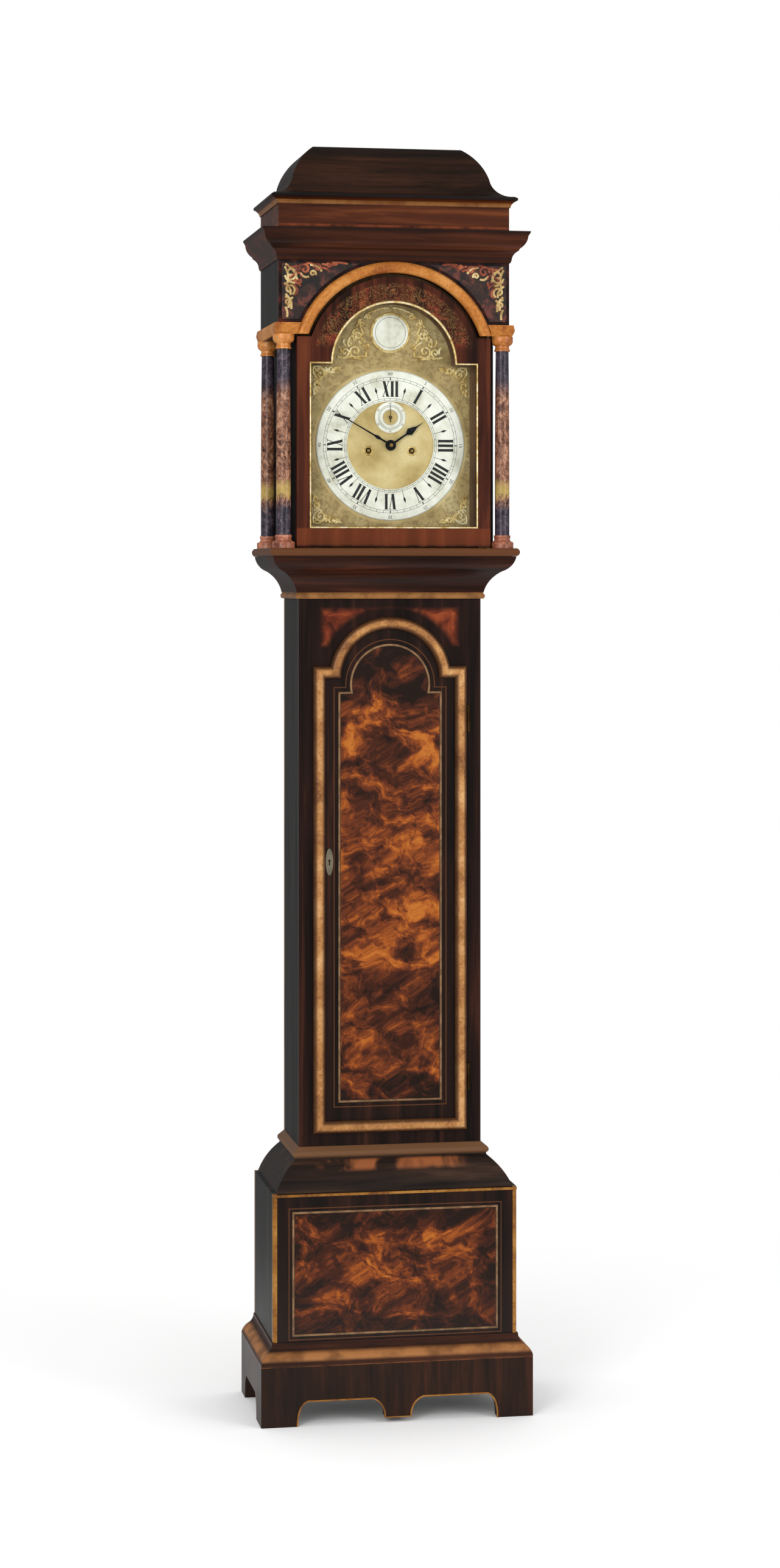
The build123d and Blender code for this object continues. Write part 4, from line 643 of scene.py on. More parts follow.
def silvered_brass():
    """Silvered rings: chalky cream silver with faint turning marks and brown spotting."""
    finish = Finish("silvered_rings")
    radius = circle_distance(finish, 0, DIAL_CENTRE)
    turned_marks = finish.noise(1.0, 3, 0.6, 0, finish.node("CombineXYZ", {0: radius * 900}))
    clouds = finish.noise(26, 5, 0.62)
    colour = finish.ramp(clouds, (0.30, "bdb9a6"), (0.46, "dfddd0"), (0.62, "eeede4"))
    colour = finish.mix(finish.rise(finish.noise(120, 4, 0.7), 0.66, 0.74) * 0.3, colour, "8c7a58")
    finish.set(Base_Color=colour, Metallic=0.15, Roughness=0.42 + clouds * 0.1,
               Normal=finish.bump(turned_marks, 0.06, 0.0001))
    return finish


def cast_gilt():
    """Fire-gilt castings with a dark ground in the hollows."""
    finish = Finish("gilt_castings")
    fine = finish.noise(160, 4, 0.65)
    clouds = finish.noise(30, 3, 0.5)
    colour = finish.ramp(fine * 0.5 + clouds * 0.5, (0.38, "98743a"), (0.48, "d8b970"),
                         (0.58, "f6e6b8"))
    finish.set(Base_Color=colour, Metallic=0.35, Roughness=0.3 + fine * 0.2,
               Normal=finish.bump(fine, 0.3, 0.0002))
    return finish


def fret_ground():
    """Dark plates behind the hood's foliage, stained unevenly."""
    finish = Finish("stained_ground", Coat_Weight=0.2)
    clouds = finish.noise(46, 4, 0.6, 0.8)
    colour = finish.ramp(clouds, (0.40, "17100c"), (0.54, "35190f"), (0.66, "6b2c1a"))
    finish.set(Base_Color=colour, Roughness=0.45 + clouds * 0.2, Normal=finish.bump(clouds, 0.2, 0.0002))
    return finish


def painted_fret(name, deep, middle, light):
    """Carved and painted fretwork, colour worn off the crowns."""
    finish = Finish(name, Coat_Weight=0.2, Coat_Roughness=0.3)
    fine = finish.noise(120, 4, 0.65)
    drift = finish.noise(40, 3, 0.5)
    colour = finish.ramp(fine * 0.4 + drift * 0.6, (0.36, deep), (0.5, middle), (0.64, light))
    finish.set(Base_Color=colour, Metallic=0.15, Roughness=0.42 + fine * 0.2,
               Normal=finish.bump(fine, 0.3, 0.0002))
    return finish


def black_wax():
    finish = Finish("black_wax")
    fine = finish.noise(300, 3, 0.6)
    colour = finish.ramp(fine, (0.4, "0e1010"), (0.6, "24282a"))
    finish.set(Base_Color=colour, Roughness=0.55 + fine * 0.2, Normal=finish.bump(fine, 0.1, 0.0001))
    return finish


def window_glass():
    """Thin old glass: clear, with a faint green cast and slight ripple."""
    finish = Finish("old_window_glass")
    ripple = finish.noise(9, 2, 0.5)
    clear = finish.node("BsdfTransparent", {"Color": (0.985, 0.995, 0.985, 1)})
    gloss = finish.node("BsdfGlossy", {"Color": (1, 1, 1, 1), "Roughness": 0.03,
                                       "Normal": finish.bump(ripple, 0.08, 0.0005)})
    grazing = finish.node("LayerWeight", {"Blend": 0.5}, out=1)
    surface = finish.node("MixShader", {0: grazing ** 5 * 0.25 + 0.012, 1: clear, 2: gloss})
    finish.tree.links.new(surface.socket, finish.tree.nodes["Material Output"].inputs["Surface"])
    return finish


def gut_finish():
    finish = Finish("twisted_gut", Sheen_Weight=0.2)
    twist = finish.node("TexWave", {"Vector": finish.place, "Scale": 260.0, "Distortion": 1.0},
                        bands_direction="DIAGONAL")
    colour = finish.ramp(twist, (0.3, "7a6038"), (0.7, "b79a68"))
    finish.set(Base_Color=colour, Roughness=0.6 + twist * 0.1, Normal=finish.bump(twist, 0.3, 0.0002))
    return finish


# Which finish each node of the frame takes
def finish_nodes():
    """One material from each recipe, given to the nodes named beside it."""
    made = {
        case_wood: ("plinth_boards",),
        side_wood: ("trunk_sides", "base_sides_and_floor", "hood_sides"),
        black_lacquer: ("caddy",),
        bare_wood: ("backboard", "seatboard", "hood_mask"),
        door_panel: ("trunk_door_board",),
        base_panel: ("base_front",),
        trunk_frame_wood: ("trunk_front_frame",),
        plinth_moulding_finish: ("plinth_moulding",),
        door_moulding_finish: ("trunk_door_moulding",),
        orange_moulding: ("hood_arch_and_imposts",),
        bead_finish: ("base_corner_beads",),
        frieze_finish: ("upper_frieze_and_cornice",),
        lower_cornice_finish: ("lower_cornice",),
        throat_finish: ("throat_moulding",),
        base_moulding_finish: ("base_moulding",),
        bottom_frame_finish: ("hood_bottom_frame",),
        hood_door_wood: ("hood_door_frame",),
        front_board_finish: ("hood_front_board",),
        column_finish: ("hood_columns",),
        column_end_finish: ("column_bases_and_capitals",),
        brass: ("movement_frame", "going_barrel", "strike_barrel", "centre_wheel", "third_wheel",
                "escape_wheel", "cannon_wheel", "minute_wheel", "hour_wheel", "back_cock", "pendulum_bob",
                "rating_nut"),
        old_brass: ("trunk_door_hinges", "trunk_hinge_leaves", "hood_door_pivot_plates"),
        worn_white_brass: ("trunk_lock_and_escutcheon",),
        lacquered_brass: ("going_weight", "strike_weight"),
        steel: ("pendulum_rod", "anchor", "hammer", "seatboard_bolts", "trunk_lock_bolt", "hood_pivot_pins"),
        bell_metal: ("bell_and_stand",),
        blued_steel: ("hour_hand", "minute_hand", "seconds_hand"),
        dial_brass: ("dial_plate",),
        silvered_brass: ("dial_rings",),
        cast_gilt: ("dial_spandrels",),
        fret_ground: ("hood_spandrel_frets",),
        window_glass: ("hood_door_glass",),
        gut_finish: ("going_gut_line", "strike_gut_line", "gut_line_ends"),
    }
    for recipe, names in made.items():
        material = recipe().material
        for name in names:
            mesh = nodes[name].data
            mesh.materials.clear()
            mesh.materials.append(material)


# Placing meshes
def placed(name, mesh, finish):
    """A finished mesh in the scene; its place is in its mesh."""
    thing = bpy.data.objects.new(name, mesh)
    bpy.context.scene.collection.objects.link(thing)
    mesh.materials.clear()
    mesh.materials.append(finish.material)
    return thing


def piece(name, mesh, finish, body, slot, *stands_for):
    """A finished mesh that rides on a body."""
    thing = placed(name, mesh, finish)
    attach(thing, body)
    if stands_for:
        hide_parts(*stands_for)


def front_view(x, level, plane):
    """Turns a flat drawing, x right and y up, so that it stands in a front plane and faces forward."""
    return Matrix.Translation((x, plane, level)) @ Matrix.Rotation(math.radians(90), 4, "X")


def solid_mesh(name, faces, thick):
    """Flat outlines, each a list of (x, y) going anticlockwise, given a thickness towards the viewer."""
    sheet = bmesh.new()
    for outline in faces:
        back = [sheet.verts.new((x, y, 0)) for x, y in outline]
        front = [sheet.verts.new((x, y, thick)) for x, y in outline]
        sheet.faces.new(front)
        sheet.faces.new(list(reversed(back)))
        for here in range(len(outline)):
            after = (here + 1) % len(outline)
            sheet.faces.new((back[here], back[after], front[after], front[here]))
    mesh = bpy.data.meshes.new(name)
    bmesh.ops.recalc_face_normals(sheet, faces=sheet.faces)
    sheet.to_mesh(mesh)
    sheet.free()
    return mesh


def joined(name, *meshes):
    """Several meshes as one."""
    whole = bmesh.new()
    for mesh in meshes:
        whole.from_mesh(mesh)
        bpy.data.meshes.remove(mesh)
    made = bpy.data.meshes.new(name)
    whole.to_mesh(made)
    whole.free()
    return made


# Geometry Nodes
class Growth:
    """A Geometry Nodes tree with named inputs, run once on a source to give a plain mesh."""

    def __init__(self, name, **inputs):
        self.tree = bpy.data.node_groups.new(name, "GeometryNodeTree")
        self.tree.interface.new_socket("Geometry", in_out="OUTPUT", socket_type="NodeSocketGeometry")
        self.tree.interface.new_socket("Source", in_out="INPUT", socket_type="NodeSocketGeometry")
        for key, kind in inputs.items():
            self.tree.interface.new_socket(key, in_out="INPUT", socket_type="NodeSocket" + kind)
        self.entry = self.tree.nodes.new("NodeGroupInput")
        self.exit = self.tree.nodes.new("NodeGroupOutput")
        self.source = self.entry.outputs[0]
        for index, key in enumerate(inputs):
            setattr(self, key, self.entry.outputs[index + 1])

    def node(self, kind, sockets=None, out=0, **settings):
        """Any node: its settings first, then the values or links of its sockets; gives one output."""
        made = self.tree.nodes.new(kind)
        for key, value in settings.items():
            setattr(made, key, value)
        for key, value in (sockets or {}).items():
            if isinstance(value, bpy.types.NodeSocket):
                self.tree.links.new(value, made.inputs[key])
            else:
                made.inputs[key].default_value = value
        return made.outputs[out]

    def close(self, geometry):
        real = self.node("GeometryNodeRealizeInstances", {0: geometry})
        painted = self.node("GeometryNodeSetMaterial", {"Geometry": real, "Material": self.Finish})
        self.tree.links.new(painted, self.exit.inputs[0])
        return self

    def run(self, name, source, finish, **values):
        """The tree's result on a source mesh or curve, with its inputs set, as a plain mesh."""
        holder = bpy.data.objects.new(name + "_source", source)
        bpy.context.scene.collection.objects.link(holder)
        modifier = holder.modifiers.new("growth", "NODES")
        modifier.node_group = self.tree
        values["Finish"] = finish.material
        for item in self.tree.interface.items_tree:
            if item.item_type == "SOCKET" and item.in_out == "INPUT" and item.name in values:
                modifier[item.identifier] = values[item.name]
        bpy.context.view_layer.update()
        evaluated = holder.evaluated_get(bpy.context.evaluated_depsgraph_get())
        mesh = bpy.data.meshes.new_from_object(evaluated)
        mesh.name = name
        bpy.data.objects.remove(holder)
        return mesh


def marks_growth():
    """Marks set round a circle, each a bar whose length points outwards."""
    growth = Growth("marks_round_a_circle", Count="Int", Radius="Float", Long="Float", Wide="Float",
                    Thick="Float", Finish="Material")
    circle = growth.node("GeometryNodeMeshCircle", {"Vertices": growth.Count, "Radius": growth.Radius})
    size = growth.node("ShaderNodeCombineXYZ", {0: growth.Wide, 1: growth.Long, 2: growth.Thick})
    bar = growth.node("GeometryNodeMeshCube", {"Size": size})
    outward = growth.node("FunctionNodeAlignRotationToVector", {
        "Vector": growth.node("GeometryNodeInputPosition")}, axis="Y", pivot_axis="Z")
    bars = growth.node("GeometryNodeInstanceOnPoints", {
        "Points": circle, "Instance": bar, "Rotation": outward})
    return growth.close(bars)


def cord_growth():
    """A round bead along each curve, its thickness taken from the curve's own radius."""
    growth = Growth("bead_along_a_path", Radius="Float", Sides="Int", Finish="Material")
    ring = growth.node("GeometryNodeCurvePrimitiveCircle", {
        "Resolution": growth.Sides, "Radius": growth.Radius})
    bead = growth.node("GeometryNodeCurveToMesh", {"Curve": growth.source, "Profile Curve": ring,
                                                   "Fill Caps": True})
    return growth.close(bead)


def curve_of(name, strokes, closed=False):
    """Poly curves through lists of (x, y, radius share) in the drawing plane."""
    curve = bpy.data.curves.new(name, "CURVE")
    curve.dimensions = "3D"
    for stroke in strokes:
        spline = curve.splines.new("POLY")
        spline.points.add(len(stroke) - 1)
        for point, (x, y, share) in zip(spline.points, stroke):
            point.co = (x, y, 0, 1)
            point.radius = share
        spline.use_cyclic_u = closed
    return curve


# Dial engraving: numerals, minute track, seconds, boss
NUMERAL_FOOT = 0.0905
NUMERAL_TALL = 0.0290
THICK_STROKE = 0.0050
THIN_STROKE = 0.0012
SERIF = 0.0010
LONG_SERIF = 0.006
SHORT_SERIF = 0.005
STROKE_GAP = 0.0016
CROSS_WIDE = 0.0140
WAX_THICK = 0.00012
MINUTE_TRACK = 0.1240
MINUTE_NUMBERS = 0.1335
QUARTER_TRACK = 0.0856
CHAPTER_CIRCLES = (0.0838, 0.0872, 0.1215, 0.1262, 0.1388)
CIRCLE_WIDE = 0.0005
MINUTE_NUMBER_TALL = 0.0062
SECONDS_TRACK = 0.0213
SECONDS_NUMBERS = 0.0260
SECONDS_NUMBER_TALL = 0.0036
SECONDS_CIRCLES = ((0.0146, 0.0150), (0.0196, 0.0200), (0.0226, 0.0230))
HALF_HOUR = [[(0, 0.0975), (0.0022, 0.1045), (0, 0.1115), (-0.0022, 0.1045)],
             [(-0.0004, 0.0880), (0.0004, 0.0880), (0.0004, 0.0985), (-0.0004, 0.0985)]]
HOURS = ("I", "II", "III", "IIII", "V", "VI", "VII", "VIII", "IX", "X", "XI", "XII")


def slant(foot, head, wide):
    """A straight stroke from a foot to a head, each an x at the bottom or top of the numeral."""
    return [(foot, 0), (foot + wide, 0), (head + wide, NUMERAL_TALL), (head, NUMERAL_TALL)]


def serif(start, end, level):
    return [(start, level), (end, level), (end, level + SERIF), (start, level + SERIF)]


def letter(kind, x):
    """Strokes and serifs of one Roman letter that starts at x, and where it ends."""
    top = NUMERAL_TALL - SERIF
    if kind == "I":
        end = x + THICK_STROKE + 2 * SERIF
        strokes = [slant(x + SERIF, x + SERIF, THICK_STROKE)]
        return strokes + [serif(x, end, 0), serif(x, end, top)], end
    end = x + CROSS_WIDE
    left, right = x + SERIF, end - SERIF
    if kind == "X":
        strokes = [slant(right - THICK_STROKE, left, THICK_STROKE),
                   slant(left, right - THIN_STROKE, THIN_STROKE)]
        feet = [serif(x, x + SHORT_SERIF, 0), serif(end - LONG_SERIF, end, 0)]
    else:
        middle = (x + end) / 2
        strokes = [slant(middle - THICK_STROKE / 2, left, THICK_STROKE),
                   slant(middle, right - THIN_STROKE, THIN_STROKE)]
        feet = []
    return strokes + feet + [serif(x, x + LONG_SERIF, top), serif(end - SHORT_SERIF, end, top)], end


def numeral(text):
    """The flat outlines of a Roman number, centred on x and standing on y = 0."""
    outlines, x = [], 0
    for kind in text:
        strokes, x = letter(kind, x)
        outlines += strokes
        x += STROKE_GAP
    middle = (x - STROKE_GAP) / 2
    return [[(px - middle, py) for px, py in outline] for outline in outlines]


def clockwise(angle):
    """A turn in the drawing plane, in degrees clockwise from twelve."""
    return Matrix.Rotation(-math.radians(angle), 4, "Z")


def arabic(number, tall, name):
    """A small upright number as a mesh, centred on its own middle."""
    text = bpy.data.curves.new(name, "FONT")
    text.body = str(number)
    text.size = tall * 1.4
    text.align_x = "CENTER"
    text.align_y = "CENTER"
    text.extrude = WAX_THICK / 2
    holder = bpy.data.objects.new(name, text)
    mesh = bpy.data.meshes.new_from_object(holder)
    bpy.data.objects.remove(holder)
    return mesh


def on_circle(radius, turn):
    return radius * math.cos(turn), radius * math.sin(turn)


def hoop(inner, outer):
    """A flat engraved circle, as four-sided faces."""
    steps = 180
    outlines = []
    for step in range(steps):
        first, second = [2 * math.pi * (step + more) / steps for more in (0, 1)]
        outlines.append([on_circle(inner, first), on_circle(outer, first),
                         on_circle(outer, second), on_circle(inner, second)])
    return solid_mesh("hoop", outlines, WAX_THICK)


def chapter_engraving(marks, wax):
    """Hours, half-hour lozenges, minute track and minute numbers of the chapter ring."""
    meshes = []
    for index, text in enumerate(HOURS):
        mesh = solid_mesh("hour", numeral(text), WAX_THICK)
        mesh.transform(clockwise(30 * (index + 1)) @ Matrix.Translation((0, NUMERAL_FOOT, 0)))
        lozenge = solid_mesh("half_hour", HALF_HOUR, WAX_THICK)
        lozenge.transform(clockwise(30 * index + 15))
        number = arabic(5 * (index + 1), MINUTE_NUMBER_TALL, "minute_number")
        number.transform(clockwise(30 * (index + 1)) @ Matrix.Translation((0, MINUTE_NUMBERS, 0)))
        meshes += [mesh, lozenge, number]
    for inner in CHAPTER_CIRCLES:
        meshes.append(hoop(inner, inner + CIRCLE_WIDE))
    empty = bpy.data.meshes.new("nothing")
    meshes.append(marks.run("minutes", empty, wax, Count=60, Radius=MINUTE_TRACK, Long=0.0046,
                            Wide=0.0006, Thick=2 * WAX_THICK))
    meshes.append(marks.run("fives", empty, wax, Count=12, Radius=MINUTE_TRACK, Long=0.0046,
                            Wide=0.0018, Thick=2 * WAX_THICK))
    meshes.append(marks.run("quarters", empty, wax, Count=48, Radius=QUARTER_TRACK, Long=0.0034,
                            Wide=0.0006, Thick=2 * WAX_THICK))
    return joined("chapter_engraving", *meshes)


def seconds_engraving(marks, wax):
    """Circles, second marks and numbers of the seconds ring."""
    meshes = [hoop(inner, outer) for inner, outer in SECONDS_CIRCLES]
    empty = bpy.data.meshes.new("nothing_small")
    meshes.append(marks.run("seconds", empty, wax, Count=60, Radius=SECONDS_TRACK, Long=0.0027,
                            Wide=0.0003, Thick=2 * WAX_THICK))
    for tens in range(6):
        number = arabic(10 * (tens + 1), SECONDS_NUMBER_TALL, "seconds_number")
        number.transform(clockwise(60 * (tens + 1)) @ Matrix.Translation((0, SECONDS_NUMBERS, 0)))
        meshes.append(number)
    return joined("seconds_engraving", *meshes)


def engrave_dial(marks, wax):
    chapter = chapter_engraving(marks, wax)
    chapter.transform(front_view(0, DIAL_CENTRE, RING_FACE))
    piece("chapter_engraving", chapter, wax, "case", "blued_steel")
    seconds = seconds_engraving(marks, wax)
    seconds.transform(front_view(0, SECONDS_CENTRE, RING_FACE))
    piece("seconds_engraving", seconds, wax, "case", "blued_steel")


def round_piece(name, profile, centre, plane, finish, body, slot):
    """A turned ring or disc whose profile is (radius, height towards the viewer)."""
    steps = 96
    turning = bmesh.new()
    rows = []
    for radius, height in profile:
        if radius == 0:
            rows.append([turning.verts.new((0, 0, height))])
            continue
        rows.append([turning.verts.new((*on_circle(radius, 2 * math.pi * step / steps), height))
                     for step in range(steps)])
    for first, second in zip(rows, rows[1:]):
        for here in range(steps):
            after = (here + 1) % steps
            corners = [first[here % len(first)], first[after % len(first)],
                       second[after % len(second)], second[here % len(second)]]
            turning.faces.new(list(dict.fromkeys(corners)))
    bmesh.ops.recalc_face_normals(turning, faces=turning.faces)
    mesh = bpy.data.meshes.new(name)
    turning.to_mesh(mesh)
    turning.free()
    mesh.transform(front_view(centre[0], centre[1], plane))
    for face in mesh.polygons:
        face.use_smooth = True
    piece(name, mesh, finish, body, slot)


def dial_fittings(gilt, wax):
    """Turned collars round the winding holes, and a gilt rim and an engraved circle on the boss."""
    across, level = WINDING_HOLES
    for side, name in ((-1, "strike_winding_collar"), (1, "going_winding_collar")):
        collar = [(0.0056, 0), (0.0056, 0.0006), (0.0066, 0.0011), (0.0078, 0.0004), (0.0086, 0.0008),
                  (0.0096, 0)]
        round_piece(name, collar, (side * across, level), DIAL_FACE, gilt, "case", "dial_brass")
    rim = [(0.0338, 0.0), (0.0338, 0.0022), (0.0352, 0.0030), (0.0372, 0.0026), (0.0382, 0.0)]
    round_piece("boss_rim", rim, (0, BOSS_CENTRE), DIAL_FACE, gilt, "case", "fret_gilt")
    circle = [(0.0282, 0), (0.0282, WAX_THICK), (0.0288, WAX_THICK), (0.0288, 0)]
    round_piece("boss_engraved_circle", circle, (0, BOSS_CENTRE), RING_FACE, wax, "case", "blued_steel")


# Scrolled castings and frets
def spiral(centre, reach, turns, start, way, thick):
    """A scroll that winds in to a small eye; way is 1 anticlockwise, -1 clockwise, start in degrees."""
    steps = 26
    tail = 0.35
    points = []
    for step in range(steps + 1):
        share = step / steps
        radius = reach * (1 - share) ** 0.8 + reach * 0.10
        turn = math.radians(start) + way * share * turns * 2 * math.pi
        swell = tail + (1 - tail) * math.sin(math.pi * min(1, share * 1.25) ** 0.8)
        x, y = on_circle(radius, turn)
        points.append((centre[0] + x, centre[1] + y, thick * swell))
    return points


def leaf(root, tip, bend, thick):
    """A pointed leaf from root to tip, bowed to one side."""
    steps = 10
    run = Vector(tip) - Vector(root)
    side = Vector((-run.y, run.x)) * bend
    points = []
    for step in range(steps + 1):
        share = step / steps
        place = Vector(root) + run * share + side * math.sin(math.pi * share)
        points.append((place.x, place.y, thick * max(0.08, math.sin(math.pi * share ** 0.7))))
    return points


def corner_spray():
    """Scrolls and leaves that fill a corner; they grow to +x and +y from the origin."""
    return [
        spiral((17, 17), 9.5, 1.25, 200, 1, 1.5),
        spiral((36, 9), 6.5, 1.2, 180, -1, 1.2),
        spiral((9, 36), 6.5, 1.2, 270, 1, 1.2),
        spiral((50, 7), 3.8, 1.1, 170, -1, 0.9),
        spiral((7, 50), 3.8, 1.1, 280, 1, 0.9),
        leaf((4, 4), (14, 28), 0.18, 1.9), leaf((4, 4), (28, 14), -0.18, 1.9),
        leaf((5, 5), (19, 19), 0.0, 2.4), leaf((27, 5), (45, 14), 0.16, 1.6),
        leaf((5, 27), (14, 45), -0.16, 1.6), leaf((24, 20), (29, 9), 0.2, 1.3),
        leaf((20, 24), (9, 29), -0.2, 1.3), leaf((45, 4), (57, 5), 0.1, 1.2),
        leaf((4, 45), (5, 57), -0.1, 1.2),
        leaf((38, 15), (44, 5), 0.15, 1.1), leaf((15, 38), (5, 44), -0.15, 1.1),
    ]


def arch_spray():
    """Scrolls beside the boss, drawn for the right-hand side from the foot of the arch."""
    return [
        spiral((66, 28), 11, 1.3, 250, 1, 1.6), spiral((86, 26), 7.5, 1.2, 260, -1, 1.3),
        spiral((62, 56), 8.5, 1.25, 300, 1, 1.4), spiral((54, 78), 5.5, 1.2, 290, 1, 1.1),
        leaf((46, 18), (60, 46), 0.2, 1.9), leaf((74, 18), (100, 18), -0.1, 1.7),
        leaf((78, 36), (72, 58), -0.2, 1.8), leaf((50, 60), (56, 88), -0.12, 1.6),
        leaf((62, 70), (72, 60), 0.2, 1.4), leaf((94, 24), (98, 36), 0.2, 1.2),
        leaf((44, 17), (66, 16), 0.1, 1.4),
        spiral((76, 42), 5.0, 1.1, 120, -1, 1.2), spiral((44, 36), 4.6, 1.1, 60, 1, 1.1),
        spiral((40, 92), 4.4, 1.1, 300, 1, 1.1), leaf((84, 38), (88, 50), -0.2, 1.4),
        leaf((66, 74), (60, 88), 0.15, 1.4), leaf((48, 44), (54, 60), -0.15, 1.4),
        leaf((70, 48), (66, 66), 0.2, 1.3), leaf((28, 104), (50, 90), 0.12, 1.5),
        leaf((4, 110), (30, 104), 0.06, 1.5), leaf((52, 12), (76, 14), 0.06, 1.5),
    ]


def hood_spray():
    """Foliate fret of a hood spandrel, drawn from its outer lower corner inwards and upwards."""
    return [
        spiral((16, 84), 12, 1.25, 220, 1, 2.0), spiral((42, 92), 9.5, 1.2, 190, -1, 1.8),
        spiral((14, 54), 9.5, 1.2, 300, 1, 1.8), spiral((66, 95), 7, 1.2, 180, -1, 1.5),
        spiral((11, 30), 6.5, 1.2, 280, 1, 1.4), spiral((87, 99), 4.6, 1.1, 180, -1, 1.2),
        leaf((6, 101), (28, 72), 0.12, 2.6), leaf((8, 98), (36, 100), -0.1, 2.4),
        leaf((5, 96), (9, 62), 0.12, 2.3), leaf((26, 86), (36, 78), 0.22, 1.9),
        leaf((52, 100), (74, 88), 0.14, 1.9), leaf((22, 62), (27, 46), 0.2, 1.7),
        leaf((6, 46), (17, 18), 0.14, 1.8), leaf((74, 102), (103, 102), -0.08, 1.6),
        leaf((6, 22), (9, 3), 0.1, 1.3), leaf((92, 104), (122, 103), 0.04, 1.1),
        leaf((20, 40), (12, 20), -0.15, 1.3),
        spiral((29, 70), 6.0, 1.1, 40, -1, 1.5), spiral((57, 84), 5.5, 1.1, 330, 1, 1.4),
        leaf((26, 100), (12, 76), 0.2, 2.0), leaf((34, 84), (50, 78), -0.2, 1.8),
        leaf((44, 102), (60, 100), 0.1, 1.7), leaf((5, 80), (24, 66), -0.18, 1.9),
        leaf((20, 70), (34, 60), 0.15, 1.6), leaf((4, 66), (16, 44), 0.16, 1.8),
        leaf((70, 92), (84, 92), 0.2, 1.4), leaf((5, 40), (14, 36), 0.2, 1.5),
        leaf((28, 52), (22, 44), 0.2, 1.2),
    ]


def scaled(strokes, across, up):
    """Strokes drawn in millimetres, mirrored where asked, as metres."""
    return [[(x * across * MM, y * up * MM, thick) for x, y, thick in stroke] for stroke in strokes]


def casting(growth, name, strokes, places, finish, plane, swell, flat):
    """One relief made of the same strokes set at several places, each (x, level, across, up)."""
    meshes = []
    for x, level, across, up in places:
        drawn = curve_of(name, scaled(strokes, across, up))
        mesh = growth.run(name, drawn, finish, Radius=swell * MM, Sides=8)
        mesh.transform(front_view(x, level, plane) @ Matrix.Diagonal((1, 1, flat, 1)))
        meshes.append(mesh)
    whole = joined(name, *meshes)
    for face in whole.polygons:
        face.use_smooth = True
    return whole


def dial_castings(growth, gilt):
    """Corner and arch castings of the dial, in place of their plain plates."""
    back = DIAL_FACE - 0.0007
    swell, flat = 2.1, 0.5
    edge, low, high = 0.1495, 1.6505, 1.9495
    corners = [(side * edge, level, -side, up) for side in (-1, 1) for level, up in ((low, 1), (high, -1))]
    relief = casting(growth, "corner_castings", corner_spray(), corners, gilt, back, swell, flat)
    piece("dial_corner_castings", relief, gilt, "case", "fret_gilt")
    arches = [(0, ARCH_CENTRE, side, 1) for side in (-1, 1)]
    relief = casting(growth, "arch_castings", arch_spray(), arches, gilt, back, swell, flat)
    piece("dial_arch_castings", relief, gilt, "case", "fret_gilt", "dial_spandrels")


def hood_frets(growth, gold, red):
    """Carved foliage over the two dark spandrel plates of the hood."""
    across, level = FRET_CORNER
    back = HOOD_FRONT - 0.003
    swell, flat = 2.3, 0.6
    places = [(side * across, level, -side, 1) for side in (-1, 1)]
    spray = hood_spray()
    foliage = (("gold_fret_foliage", spray[0::2], gold), ("red_fret_foliage", spray[1::2], red))
    for name, strokes, finish in foliage:
        relief = casting(growth, name, strokes, places, finish, back, swell, flat)
        piece(name, relief, finish, "hood", "fret_gilt")


# Slips and beads that follow an outline
SLIP_RADIUS = 0.0021
CUT_BEAD_RADIUS = 0.0016
TOP_BEAD_RADIUS = 0.0026
BASE_HALF = 0.2285
PLINTH_CUT_HALF = 0.1875
PLINTH_CUT_TOP = 0.0465


def arch_outline(half, low, shoulder, radius, centre):
    """Points of a break-arch outline, anticlockwise from its lower left corner, for a closed bead."""
    foot = math.sqrt(radius ** 2 - (shoulder - centre) ** 2)
    start = math.atan2(shoulder - centre, foot)
    steps = 40
    arc = []
    for step in range(steps + 1):
        x, up = on_circle(radius, start + (math.pi - 2 * start) * step / steps)
        arc.append((x, centre + up, 1))
    return [(-half, low, 1), (half, low, 1), (half, shoulder, 1), *arc, (-half, shoulder, 1)]


def outline_bead(growth, name, points, radius, plane, finish, body, slot, closed=True, flat=1.0):
    """A bead along an outline drawn in a front plane."""
    mesh = growth.run(name, curve_of(name, [points], closed), finish, Radius=radius, Sides=10)
    mesh.transform(front_view(0, 0, plane) @ Matrix.Diagonal((1, 1, flat, 1)))
    piece(name, mesh, finish, body, slot)


def cut_edge_points():
    """The plinth's cut edge, read from the front board, from the left foot to the right."""
    mesh = nodes["plinth_boards"].data
    hair = 1e-5
    front = min(vertex.co.y for vertex in mesh.vertices) + hair
    edges = {}
    for face in mesh.polygons:
        corners = [mesh.vertices[index].co for index in face.vertices]
        if max(corner.y for corner in corners) > front:
            continue
        for here, after in zip(corners, corners[1:] + corners[:1]):
            key = frozenset(((round(here.x, 5), round(here.z, 5)), (round(after.x, 5), round(after.z, 5))))
            edges[key] = edges.get(key, 0) + 1
    rim = {point for key, count in edges.items() if count == 1 for point in key}
    inside = [point for point in rim if abs(point[0]) < PLINTH_CUT_HALF and point[1] < PLINTH_CUT_TOP]
    return [(x, level, 1) for x, level in sorted(inside)]


def trim(growth, ochre, gilt):
    """Gilt slip round the glass and the ochre beads of the case."""
    outline_bead(growth, "hood_door_gilt_slip", arch_outline(*SIGHT), SLIP_RADIUS, HOOD_DOOR_FACE - 0.0002,
                 gilt, "hood_door", "moulding_wood")
    outline_bead(growth, "plinth_cut_bead", cut_edge_points(), CUT_BEAD_RADIUS, PLINTH_FRONT, ochre, "case",
                 "moulding_wood", closed=False)
    top_line = [(-BASE_HALF, BASE_TOP, 1), (BASE_HALF, BASE_TOP, 1)]
    outline_bead(growth, "base_top_bead", top_line, TOP_BEAD_RADIUS, BASE_FRONT, ochre, "case",
                 "moulding_wood", closed=False, flat=0.7)


